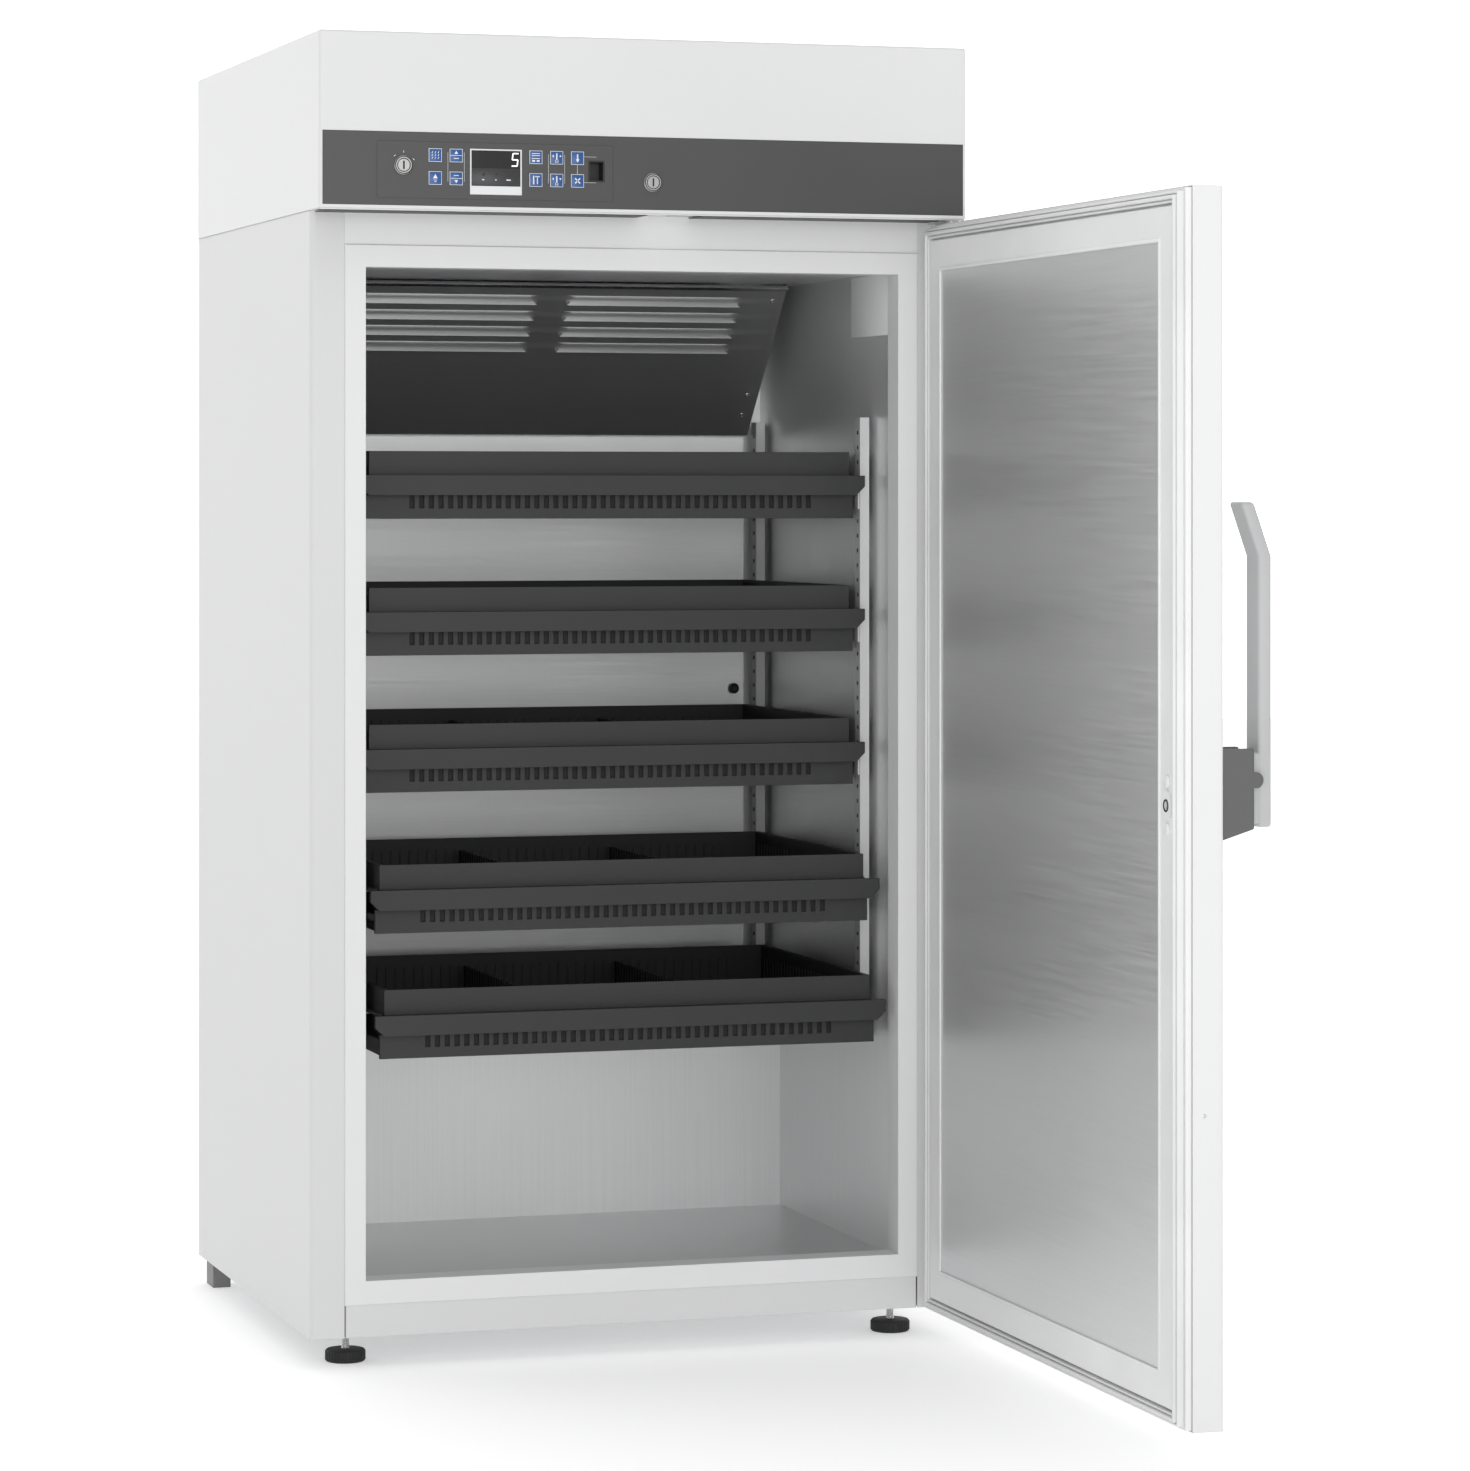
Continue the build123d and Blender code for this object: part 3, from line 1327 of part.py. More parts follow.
with BuildPart() as hinge_bushes:
    with BuildSketch(Plane.XY.offset(notch_top)):
        with Locations((axis_x, axis_y)):
            Circle(bush_radius)
            Circle(pin_radius + pin_play, mode=Mode.SUBTRACT)
    extrude(amount=bush_length)
    with BuildSketch(Plane.XY.offset(door_top)):
        with Locations((axis_x, axis_y)):
            Circle(bush_radius)
            Circle(pin_radius + pin_play, mode=Mode.SUBTRACT)
    extrude(amount=-bush_length)
hinge_bushes_open = hinge_bushes.part.rotate(door_axis, door_angle)
hinge_bushes_open.label = "hinge_bushes"
export_step(hinge_bushes_open, "parts/hinge_bushes.step")

# Handle bracket: base and two cheeks, with a tongue round the pivot
pivot_y = face - pivot_out
bracket_left = handle_x - bracket_width / 2
with BuildPart() as handle_bracket:
    with BuildSketch(Plane.YZ.offset(bracket_left)):
        with BuildLine():
            FilletPolyline(
                (face, bracket_bottom),
                (face - bracket_depth, bracket_bottom + bracket_taper),
                (face - bracket_depth, bracket_top),
                (face, bracket_top),
                radius=bracket_radius,
            )
            Line((face, bracket_top), (face, bracket_bottom))
        make_face()
        with Locations((pivot_y, pivot_z)):
            Circle(tongue_radius)
    extrude(amount=bracket_width)
    with BuildSketch(Plane.YZ.offset(bracket_left + cheek)):
        with Locations((face - bracket_base - bracket_width, (bracket_bottom + bracket_top) / 2)):
            Rectangle(2 * bracket_width, 2 * (bracket_top - bracket_bottom))
    extrude(amount=bracket_width - 2 * cheek, mode=Mode.SUBTRACT)
    with BuildSketch(Plane.YZ.offset(bracket_left)):
        with Locations((pivot_y, pivot_z)):
            Circle(handle_pin_radius)
    extrude(amount=bracket_width)
    with BuildSketch(Plane.XZ.offset(-face)):
        with Locations((handle_x, plunger_z)):
            Circle(plunger_bore)
    extrude(amount=bracket_base, mode=Mode.SUBTRACT)
handle_bracket_open = handle_bracket.part.rotate(door_axis, door_angle)
handle_bracket_open.label = "handle_bracket"
export_step(handle_bracket_open, "parts/handle_bracket.step")

lever_width = bracket_width - 2 * cheek - 2 * cheek_gap
lever_back = face - lever_stand_off
lever_front = lever_back - lever_depth
with BuildPart() as handle_lever:
    with BuildSketch(Plane.YZ.offset(handle_x - lever_width / 2)):
        with BuildLine():
            FilletPolyline(
                (lever_back, lever_bottom),
                (lever_back, lever_bend),
                (lever_back + lever_lean, lever_top),
                (lever_front + lever_lean, lever_top),
                (lever_front, lever_bend),
                (lever_front, lever_bottom),
                radius=lever_radius,
                close=True,
            )
        make_face()
        with Locations((pivot_y, pivot_z)):
            Circle(handle_pin_radius + handle_pin_play, mode=Mode.SUBTRACT)
    extrude(amount=lever_width)
handle_lever_open = handle_lever.part.rotate(door_axis, door_angle)
handle_lever_open.label = "handle_lever"
export_step(handle_lever_open, "parts/handle_lever.step")

with BuildPart() as release_plunger:
    with BuildSketch(Plane.XZ.offset(-lever_back - plunger_gap)):
        with Locations((handle_x, plunger_z)):
            Circle(plunger_head_radius)
    extrude(amount=-plunger_head)
    with BuildSketch(Plane.XZ.offset(-lever_back - plunger_gap)):
        with Locations((handle_x, plunger_z)):
            Circle(plunger_radius)
    extrude(amount=lever_back + plunger_gap - inner_front)
release_plunger_open = release_plunger.part.rotate(door_axis, door_angle)
release_plunger_open.label = "release_plunger"
export_step(release_plunger_open, "parts/release_plunger.step")

with BuildPart() as handle_keeper_plate:
    with BuildSketch(Plane.XZ.offset(-inner_front)):
        with Locations((handle_x, plunger_z)):
            SlotOverall(keeper_height, keeper_width, rotation=90)
            Circle(plunger_bore, mode=Mode.SUBTRACT)
    extrude(amount=-keeper_thickness)
    with BuildSketch(Plane.XZ.offset(-inner_front)):
        with Locations((handle_x, plunger_z - cap_spacing / 2), (handle_x, plunger_z + cap_spacing / 2)):
            Circle(cap_radius)
    extrude(amount=-cap_thickness)
handle_keeper_plate_open = handle_keeper_plate.part.rotate(door_axis, door_angle)
handle_keeper_plate_open.label = "handle_keeper_plate"
export_step(handle_keeper_plate_open, "parts/handle_keeper_plate.step")
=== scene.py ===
import bpy
from math import cos, pi, radians, sin
from mathutils import Matrix, Vector


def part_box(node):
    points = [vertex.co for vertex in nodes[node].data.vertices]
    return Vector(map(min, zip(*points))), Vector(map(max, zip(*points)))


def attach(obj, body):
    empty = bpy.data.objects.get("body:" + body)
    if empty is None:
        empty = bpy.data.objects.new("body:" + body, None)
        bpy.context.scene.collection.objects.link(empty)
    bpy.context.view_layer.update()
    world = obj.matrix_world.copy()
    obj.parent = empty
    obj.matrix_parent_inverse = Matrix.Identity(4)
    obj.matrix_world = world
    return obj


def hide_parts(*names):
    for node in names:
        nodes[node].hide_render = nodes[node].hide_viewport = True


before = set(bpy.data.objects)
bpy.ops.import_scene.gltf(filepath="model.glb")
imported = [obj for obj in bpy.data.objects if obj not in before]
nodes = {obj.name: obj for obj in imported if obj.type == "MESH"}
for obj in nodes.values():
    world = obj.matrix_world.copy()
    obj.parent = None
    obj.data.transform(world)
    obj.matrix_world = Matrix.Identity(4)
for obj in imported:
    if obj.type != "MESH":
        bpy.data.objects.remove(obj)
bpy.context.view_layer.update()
bpy.ops.object.select_all(action="DESELECT")


# Studio: a pale floor before a white backdrop, a soft sky and three broad lamps.
# The camera stands level, left of the cabinet, and is shifted down to take in the whole door.
scene = bpy.context.scene
scene.view_settings.view_transform = "Standard"
sky = bpy.data.worlds.new("studio_sky")
scene.world = sky
sky.use_nodes = True
sky.node_tree.nodes["Background"].inputs["Color"].default_value = (1.0, 1.0, 1.0, 1.0)
sky.node_tree.nodes["Background"].inputs["Strength"].default_value = 0.56

bpy.ops.mesh.primitive_plane_add(size=120, location=(0, 40, 0))
floor = bpy.context.object
floor.name = "studio_floor"
floor_finish = bpy.data.materials.new("pale_floor")
floor_finish.use_nodes = True
floor_shader = floor_finish.node_tree.nodes["Principled BSDF"]
floor_shader.inputs["Base Color"].default_value = (0.85, 0.85, 0.85, 1.0)
floor_shader.inputs["Roughness"].default_value = 0.9
floor_shader.inputs["Specular IOR Level"].default_value = 0.1
floor_shader.inputs["Emission Color"].default_value = (1.0, 1.0, 1.0, 1.0)
floor_shader.inputs["Emission Strength"].default_value = 0.33
floor.data.materials.append(floor_finish)
bpy.ops.mesh.primitive_plane_add(size=60, location=(0, 12, 0), rotation=(pi / 2, 0, 0))
backdrop = bpy.context.object
backdrop.name = "studio_backdrop"
backdrop_light = bpy.data.materials.new("backdrop_light")
backdrop_light.use_nodes = True
backdrop_shader = backdrop_light.node_tree.nodes["Principled BSDF"]
backdrop_shader.inputs["Emission Color"].default_value = (1.0, 1.0, 1.0, 1.0)
backdrop_shader.inputs["Emission Strength"].default_value = 1.0
backdrop.data.materials.append(backdrop_light)

for place, turn, size, power in (
    ((-1.3, -4.4, 1.9), (radians(75), 0, radians(-17)), 2.4, 10),
    ((-0.3, -3.4, 1.1), (radians(87), 0, radians(-5)), 1.6, 21),
    ((0.4, -1.4, 3.6), (radians(18), 0, 0), 2.4, 12),
):
    bpy.ops.object.light_add(type="AREA", location=place, rotation=turn)
    bpy.context.object.data.size = size
    bpy.context.object.data.energy = power

photo_width = 1471
focal_pixels = 4800
horizon_row = 495.5
bpy.ops.object.camera_add(location=(-1.3442, -4.8462, 0.8511), rotation=(pi / 2, 0, -radians(17.5716)))
camera = bpy.context.object
camera.data.sensor_width = 36
camera.data.lens = focal_pixels * 36 / photo_width
camera.data.shift_y = (horizon_row - photo_width / 2) / photo_width
camera.data.clip_end = 200
scene.camera = camera


# Outer cabinet: folded steel sheet, powder coated white, with the fine orange peel
# that such a coat has. Two side walls, the deck, the front frame and the plinth carry the coat.
def powder_coat(name, colour, rough=0.5, peel=0.04, soft=0.0009):
    made = bpy.data.materials.new(name)
    made.use_nodes = True
    tree = made.node_tree
    shader = tree.nodes["Principled BSDF"]
    shader.inputs["Specular IOR Level"].default_value = 0.3
    place = tree.nodes.new("ShaderNodeTexCoord")
    grain = tree.nodes.new("ShaderNodeTexNoise")
    grain.inputs["Scale"].default_value = 700
    grain.inputs["Detail"].default_value = 2
    bump = tree.nodes.new("ShaderNodeBump")
    bump.inputs["Strength"].default_value = peel
    bump.inputs["Distance"].default_value = 0.0004
    edge = tree.nodes.new("ShaderNodeBevel")
    edge.samples = 4
    edge.inputs["Radius"].default_value = soft
    cloud = tree.nodes.new("ShaderNodeTexNoise")
    cloud.inputs["Scale"].default_value = 2.2
    tone = tree.nodes.new("ShaderNodeValToRGB")
    tone.color_ramp.elements[0].color = (colour[0] * 0.96, colour[1] * 0.96, colour[2] * 0.96, 1)
    tone.color_ramp.elements[1].color = (colour[0], colour[1], colour[2], 1)
    gloss = tree.nodes.new("ShaderNodeMapRange")
    gloss.inputs["To Min"].default_value = rough - 0.05
    gloss.inputs["To Max"].default_value = rough + 0.05
    tree.links.new(place.outputs["Object"], grain.inputs["Vector"])
    tree.links.new(place.outputs["Object"], cloud.inputs["Vector"])
    tree.links.new(grain.outputs["Fac"], bump.inputs["Height"])
    tree.links.new(edge.outputs["Normal"], bump.inputs["Normal"])
    tree.links.new(bump.outputs["Normal"], shader.inputs["Normal"])
    tree.links.new(cloud.outputs["Fac"], tone.inputs["Fac"])
    tree.links.new(tone.outputs["Color"], shader.inputs["Base Color"])
    tree.links.new(cloud.outputs["Fac"], gloss.inputs["Value"])
    tree.links.new(gloss.outputs["Result"], shader.inputs["Roughness"])
    return made


def finish_nodes(names, material):
    for name in names:
        for slot in nodes[name].material_slots:
            slot.material = material


# The side walls and the plinth take a darker copy of the white coat, painted shade on the sides.
side_shade_coat = powder_coat("side_shade_powder_coat", (0.68, 0.682, 0.686))
frame_coat = powder_coat("frame_powder_coat", (0.76, 0.762, 0.768), 0.42)
finish_nodes(["side_panel_left", "side_panel_right", "plinth_panel"], side_shade_coat)
finish_nodes(["front_frame", "top_deck"], frame_coat)


# Back sheets and base: zinc plated steel with the soft grey cloud of the zinc, held by
# screws. The hinge brackets are plated in the same way.
def ground_steel(name, colour, rough, stretch, contrast=0.12, metal=1.0):
    made = bpy.data.materials.new(name)
    made.use_nodes = True
    tree = made.node_tree
    shader = tree.nodes["Principled BSDF"]
    shader.inputs["Metallic"].default_value = metal
    place = tree.nodes.new("ShaderNodeTexCoord")
    along = tree.nodes.new("ShaderNodeMapping")
    along.inputs["Scale"].default_value = stretch
    lines = tree.nodes.new("ShaderNodeTexNoise")
    lines.inputs["Scale"].default_value = 6
    lines.inputs["Detail"].default_value = 6
    cloud = tree.nodes.new("ShaderNodeTexNoise")
    cloud.inputs["Scale"].default_value = 2.4
    both = tree.nodes.new("ShaderNodeMath")
    both.operation = "MULTIPLY_ADD"
    both.inputs[1].default_value = 0.6
    tone = tree.nodes.new("ShaderNodeValToRGB")
    low = 1 - contrast
    tone.color_ramp.elements[0].position = 0.35
    tone.color_ramp.elements[1].position = 0.95
    tone.color_ramp.elements[0].color = (colour[0] * low, colour[1] * low, colour[2] * low, 1)
    tone.color_ramp.elements[1].color = (colour[0], colour[1], colour[2], 1)
    gloss = tree.nodes.new("ShaderNodeMapRange")
    gloss.inputs["To Min"].default_value = rough - 0.06
    gloss.inputs["To Max"].default_value = rough + 0.1
    bump = tree.nodes.new("ShaderNodeBump")
    bump.inputs["Strength"].default_value = 0.08
    bump.inputs["Distance"].default_value = 0.0002
    edge = tree.nodes.new("ShaderNodeBevel")
    edge.samples = 4
    edge.inputs["Radius"].default_value = 0.0006
    tree.links.new(place.outputs["Object"], along.inputs["Vector"])
    tree.links.new(along.outputs["Vector"], lines.inputs["Vector"])
    tree.links.new(place.outputs["Object"], cloud.inputs["Vector"])
    tree.links.new(lines.outputs["Fac"], both.inputs[0])
    tree.links.new(cloud.outputs["Fac"], both.inputs[2])
    tree.links.new(both.outputs["Value"], tone.inputs["Fac"])
    tree.links.new(tone.outputs["Color"], shader.inputs["Base Color"])
    tree.links.new(lines.outputs["Fac"], gloss.inputs["Value"])
    tree.links.new(gloss.outputs["Result"], shader.inputs["Roughness"])
    tree.links.new(lines.outputs["Fac"], bump.inputs["Height"])
    tree.links.new(edge.outputs["Normal"], bump.inputs["Normal"])
    tree.links.new(bump.outputs["Normal"], shader.inputs["Normal"])
    return made


zinc_sheet = ground_steel("zinc_sheet", (0.6, 0.61, 0.62), 0.42, (4, 4, 4), 0.2)
# The bright steel also gives the louvred plate's hem a painted highlight.
bright_steel = ground_steel("bright_steel", (0.8, 0.8, 0.81), 0.2, (30, 30, 30), 0.05)
finish_nodes(["base_pan", "machine_cover", "rear_panel"], zinc_sheet)
finish_nodes(["upper_hinge_bracket", "lower_hinge_bracket"], zinc_sheet)
finish_nodes(["hinge_pins"], bright_steel)


# Pan-head screws: turned and plated, with a cross recess. One is made and set into
# the back sheets, the louvred plate and the strip on the door's edge.
def shaped_block(name, low, high):
    bpy.ops.object.select_all(action="DESELECT")
    size = [b - a for a, b in zip(low, high)]
    middle = [(a + b) / 2 for a, b in zip(low, high)]
    bpy.ops.mesh.primitive_cube_add(size=1, location=middle, scale=size)
    block = bpy.context.object
    block.name = name
    bpy.ops.object.transform_apply(location=True, rotation=True, scale=True)
    return block


def round_edges(piece, width, segments=2):
    rounding = piece.modifiers.new("rounding", "BEVEL")
    rounding.width = width
    rounding.segments = segments
    rounding.limit_method = "ANGLE"
    rounding.angle_limit = radians(35)
    bpy.context.view_layer.objects.active = piece
    bpy.ops.object.modifier_apply(modifier=rounding.name)


def cut_away(piece, tool):
    cut = piece.modifiers.new("cut", "BOOLEAN")
    cut.operation = "DIFFERENCE"
    cut.solver = "EXACT"
    cut.object = tool
    bpy.context.view_layer.objects.active = piece
    bpy.ops.object.modifier_apply(modifier=cut.name)
    bpy.data.objects.remove(tool)


def join_pieces(pieces, name):
    bpy.ops.object.select_all(action="DESELECT")
    for piece in pieces:
        piece.select_set(True)
    bpy.context.view_layer.objects.active = pieces[0]
    bpy.ops.object.join()
    whole = bpy.context.object
    whole.name = name
    return whole


def fit_piece(piece, body, slot_name, material, *stands_for):
    bpy.ops.object.select_all(action="DESELECT")
    piece.select_set(True)
    bpy.context.view_layer.objects.active = piece
    bpy.ops.object.transform_apply(location=True, rotation=True, scale=True)
    bpy.ops.object.shade_smooth_by_angle(angle=radians(35))
    piece.data.materials.clear()
    piece.data.materials.append(material)
    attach(piece, body)
    if stands_for:
        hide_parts(*stands_for)


def round_bar(name, place, radius, length, sides=32, turn=(0, 0, 0)):
    bpy.ops.object.select_all(action="DESELECT")
    bpy.ops.mesh.primitive_cylinder_add(
        vertices=sides, radius=radius, depth=length, location=place, rotation=turn
    )
    bar = bpy.context.object
    bar.name = name
    return bar


screw_radius = 0.0032
screw_height = 0.0018
recess_reach = 0.002
recess_half = 0.00035
recess_floor = 0.0008
recess_top = 0.003
master_screw = round_bar("master_screw", (0, 0, screw_height / 2), screw_radius, screw_height, 24)
round_edges(master_screw, screw_height / 2, 3)
for reach_x, reach_y in ((recess_reach, recess_half), (recess_half, recess_reach)):
    cut_away(master_screw, shaped_block(
        "cross", (-reach_x, -reach_y, recess_floor), (reach_x, reach_y, recess_top)
    ))


def place_screws(name, body, slot_name, material, places, facing, scale=1.0):
    turn = Vector((0, 0, 1)).rotation_difference(Vector(facing)).to_matrix().to_4x4()
    copies = []
    for place in places:
        copy = bpy.data.objects.new(name, master_screw.data.copy())
        bpy.context.collection.objects.link(copy)
        copy.data.transform(Matrix.Translation(place) @ turn @ Matrix.Scale(scale, 4))
        copies.append(copy)
    fit_piece(join_pieces(copies, name), body, slot_name, material)


side_inset = 0.012
end_inset = 0.01
rear_panel_rows = (0.28, 0.56, 0.84, 1.11)
back_screw_scale = 1.2
cover_low, cover_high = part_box("machine_cover")
place_screws(
    "machine_cover_screws", "cabinet", "zinc_sheet", bright_steel,
    [
        (x, cover_high.y, z)
        for x in (cover_low.x + side_inset, 0.0, cover_high.x - side_inset)
        for z in (cover_low.z + end_inset, cover_high.z - end_inset)
    ],
    (0, 1, 0), back_screw_scale,
)
back_low, back_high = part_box("rear_panel")
place_screws(
    "rear_panel_screws", "cabinet", "zinc_sheet", bright_steel,
    [
        (x, back_high.y, z)
        for x in (back_low.x + side_inset, back_high.x - side_inset)
        for z in rear_panel_rows
    ],
    (0, 1, 0), back_screw_scale,
)


# Liner: ground stainless sheet folded into a box, the grinding lines upright on its
# walls, and a floor sheet laid in it whose lines run across.
liner_steel = ground_steel("liner_steel", (0.78, 0.784, 0.788), 0.36, (60, 60, 0.8), 0.12, 0.65)
floor_steel = ground_steel("liner_floor_steel", (0.6, 0.604, 0.608), 0.3, (0.8, 60, 60), 0.12, 0.85)
finish_nodes(["liner"], liner_steel)
finish_nodes(["liner_floor"], floor_steel)


# Blank plate on the right inner wall: a thin satin aluminium foil with rounded corners,
# stuck on below the ceiling. It carries no print.
foil_silver = ground_steel("blank_plate_foil", (0.8, 0.803, 0.806), 0.5, (2, 2, 2), 0.04, 0.0)
plate_low = (0.2754, -0.2455, 1.0145)
plate_high = (0.27595, -0.1315, 1.0765)
blank_plate = shaped_block("blank_plate", plate_low, plate_high)
round_edges(blank_plate, 0.0002)
fit_piece(blank_plate, "cabinet", "steel", foil_silver)


# Duct panel: ground sheet screwed to the back wall, lines across, with a black rubber
# plug pressed in its upper hole.
duct_steel = ground_steel("duct_steel", (0.72, 0.724, 0.728), 0.34, (0.8, 60, 60), 0.12, 0.8)
finish_nodes(["rear_duct_panel"], duct_steel)


def moulded_plastic(name, colour, rough, grain_size=900, depth=0.12, coat=0.0, soft=0.0008):
    made = bpy.data.materials.new(name)
    made.use_nodes = True
    tree = made.node_tree
    shader = tree.nodes["Principled BSDF"]
    shader.inputs["Coat Weight"].default_value = coat
    place = tree.nodes.new("ShaderNodeTexCoord")
    grain = tree.nodes.new("ShaderNodeTexNoise")
    grain.inputs["Scale"].default_value = grain_size
    cloud = tree.nodes.new("ShaderNodeTexNoise")
    cloud.inputs["Scale"].default_value = 7
    cloud.inputs["Detail"].default_value = 4
    tone = tree.nodes.new("ShaderNodeValToRGB")
    tone.color_ramp.elements[0].color = (colour[0] * 0.88, colour[1] * 0.88, colour[2] * 0.88, 1)
    tone.color_ramp.elements[1].color = (colour[0] * 1.08, colour[1] * 1.08, colour[2] * 1.08, 1)
    gloss = tree.nodes.new("ShaderNodeMapRange")
    gloss.inputs["To Min"].default_value = rough - 0.06
    gloss.inputs["To Max"].default_value = rough + 0.06
    bump = tree.nodes.new("ShaderNodeBump")
    bump.inputs["Strength"].default_value = depth
    bump.inputs["Distance"].default_value = 0.0002
    edge = tree.nodes.new("ShaderNodeBevel")
    edge.samples = 4
    edge.inputs["Radius"].default_value = soft
    tree.links.new(place.outputs["Object"], grain.inputs["Vector"])
    tree.links.new(place.outputs["Object"], cloud.inputs["Vector"])
    tree.links.new(cloud.outputs["Fac"], tone.inputs["Fac"])
    tree.links.new(tone.outputs["Color"], shader.inputs["Base Color"])
    tree.links.new(cloud.outputs["Fac"], gloss.inputs["Value"])
    tree.links.new(gloss.outputs["Result"], shader.inputs["Roughness"])
    tree.links.new(grain.outputs["Fac"], bump.inputs["Height"])
    tree.links.new(edge.outputs["Normal"], bump.inputs["Normal"])
    tree.links.new(bump.outputs["Normal"], shader.inputs["Normal"])
    return made


def pick_faces(piece, wanted):
    bpy.ops.object.mode_set(mode="EDIT")
    bpy.ops.mesh.select_mode(type="FACE")
    bpy.ops.mesh.select_all(action="DESELECT")
    bpy.ops.object.mode_set(mode="OBJECT")
    for face in piece.data.polygons:
        face.select = wanted(face)
    bpy.ops.object.mode_set(mode="EDIT")


# The black plastic also stands in as painted shade in the hook holes, under the head, in the shadow
# rings and in the keyways.
black_plastic = moulded_plastic("black_plastic", (0.015, 0.015, 0.016), 0.45)
plug_radius = 0.0058
plug_height = 0.0024
plug_rim = 0.0018
plug_dish = 0.0014
plug_place = (0.241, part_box("rear_duct_panel")[0].y - plug_height / 2, 0.64)
duct_plug = round_bar("duct_plug", plug_place, plug_radius, plug_height, turn=(pi / 2, 0, 0))
pick_faces(duct_plug, lambda face: face.normal.z > 0.9)
bpy.ops.mesh.inset(thickness=plug_rim, depth=0)
bpy.ops.mesh.inset(thickness=0.0006, depth=-plug_dish)
bpy.ops.object.mode_set(mode="OBJECT")
round_edges(duct_plug, 0.0005)
fit_piece(duct_plug, "cabinet", "steel", black_plastic)


# Louvred plate below the cooler: one sloping sheet with eight pressed hoods, open
# downward, folded at its sides and hemmed at its top edge, fixed with six screws.
cover_steel = ground_steel("cover_steel", (0.46, 0.463, 0.467), 0.36, (0.8, 60, 60), 0.1, 0.75)
# A darker copy of the plate's steel paints shade on the hoods.
shaded_hood_steel = ground_steel("shaded_hood_steel", (0.44, 0.444, 0.448), 0.34, (0.8, 60, 60), 0.1, 0.6)
cover_middle = Vector((0, 0.095, 0.9955))
cover_tilt = radians(132.127)
cover_width, cover_length = 0.514, 0.2117
louvre_length, louvre_mouth, louvre_lift = 0.193, 0.0098, 0.0048
louvre_taper = 0.011
louvre_root = 0.0006
louvre_x = 0.11225
first_row, row_pitch = 0.021, 0.0217
louvre_rows = [cover_length / 2 - first_row - row_pitch * i for i in range(4)]
side_fold = 0.011
hem_size = 0.003
cover_sheet = 0.001
hood_start, hem_start = 0.0008, 0.002
bpy.ops.object.select_all(action="DESELECT")
bpy.ops.mesh.primitive_plane_add(size=1)
louvred_plate = bpy.context.object
louvred_plate.name = "louvred_plate"
louvred_plate.scale = (cover_width, cover_length, 1)
bpy.ops.object.transform_apply(scale=True)
bpy.ops.object.mode_set(mode="EDIT")
cuts = [
    ((side * louvre_x + end * louvre_length / 2, 0, 0), (1, 0, 0))
    for side in (-1, 1)
    for end in (-1, 1)
]
cuts += [
    ((0, row + step * louvre_mouth / 2, 0), (0, 1, 0))
    for row in louvre_rows
    for step in (-1, 1)
]
for point, across in cuts:
    bpy.ops.mesh.select_all(action="SELECT")
    bpy.ops.mesh.bisect(plane_co=point, plane_no=across)
bpy.ops.object.mode_set(mode="OBJECT")


def at_louvre(face):
    in_row = any(abs(face.center.y - row) < louvre_mouth * 0.4 for row in louvre_rows)
    return in_row and abs(abs(face.center.x) - louvre_x) < louvre_length * 0.45


pick_faces(louvred_plate, at_louvre)
bpy.ops.mesh.extrude_region_move(TRANSFORM_OT_translate={"value": (0, 0, louvre_lift)})
bpy.ops.object.mode_set(mode="OBJECT")
for vertex in louvred_plate.data.vertices:
    if vertex.co.z > louvre_lift * 0.9:
        row = min(louvre_rows, key=lambda y: abs(y - vertex.co.y))
        middle = louvre_x if vertex.co.x > 0 else -louvre_x
        end = 1 if vertex.co.x > middle else -1
        if vertex.co.y > row:
            vertex.co.z = louvre_root
            vertex.co.x = middle + end * (louvre_length / 2 - louvre_taper)
            vertex.co.y -= louvre_root
        else:
            vertex.co.x = middle + end * (louvre_length / 2 - louvre_root)
bpy.ops.object.mode_set(mode="EDIT")
for row in louvre_rows:
    for part in (-1, 1):
        bpy.ops.mesh.select_all(action="SELECT")
        bpy.ops.mesh.bisect(plane_co=(0, row + part * louvre_mouth / 6, 0), plane_no=(0, 1, 0))
bpy.ops.mesh.select_all(action="DESELECT")
bpy.ops.object.mode_set(mode="OBJECT")
for vertex in louvred_plate.data.vertices:
    if vertex.co.z > 0.0001:
        row = min(louvre_rows, key=lambda y: abs(y - vertex.co.y))
        run = min(1, max(0, (row + louvre_mouth / 2 - vertex.co.y) / louvre_mouth))
        vertex.co.z = louvre_root + (louvre_lift - louvre_root) * (1 - cos(run * pi / 2))
pick_faces(louvred_plate, lambda face: face.normal.y < -0.9)
bpy.ops.mesh.delete(type="FACE")
bpy.ops.mesh.select_mode(type="EDGE")
bpy.ops.mesh.select_all(action="DESELECT")
bpy.ops.object.mode_set(mode="OBJECT")
points = louvred_plate.data.vertices
for edge in louvred_plate.data.edges:
    a, b = (points[i].co for i in edge.vertices)
    edge.select = abs(abs(a.x) - cover_width / 2) < 1e-5 and abs(abs(b.x) - cover_width / 2) < 1e-5
bpy.ops.object.mode_set(mode="EDIT")
bpy.ops.mesh.extrude_region_move(TRANSFORM_OT_translate={"value": (0, 0, -side_fold)})
bpy.ops.mesh.select_all(action="DESELECT")
bpy.ops.object.mode_set(mode="OBJECT")
for edge in louvred_plate.data.edges:
    a, b = (points[i].co for i in edge.vertices)
    edge.select = min(a.y, b.y) > cover_length / 2 - 1e-5 and min(a.z, b.z) > -1e-5
bpy.ops.object.mode_set(mode="EDIT")
bpy.ops.mesh.extrude_region_move(TRANSFORM_OT_translate={"value": (0, 0, hem_size)})
bpy.ops.mesh.extrude_region_move(TRANSFORM_OT_translate={"value": (0, -hem_size, 0)})
bpy.ops.mesh.select_all(action="SELECT")
bpy.ops.mesh.normals_make_consistent(inside=False)
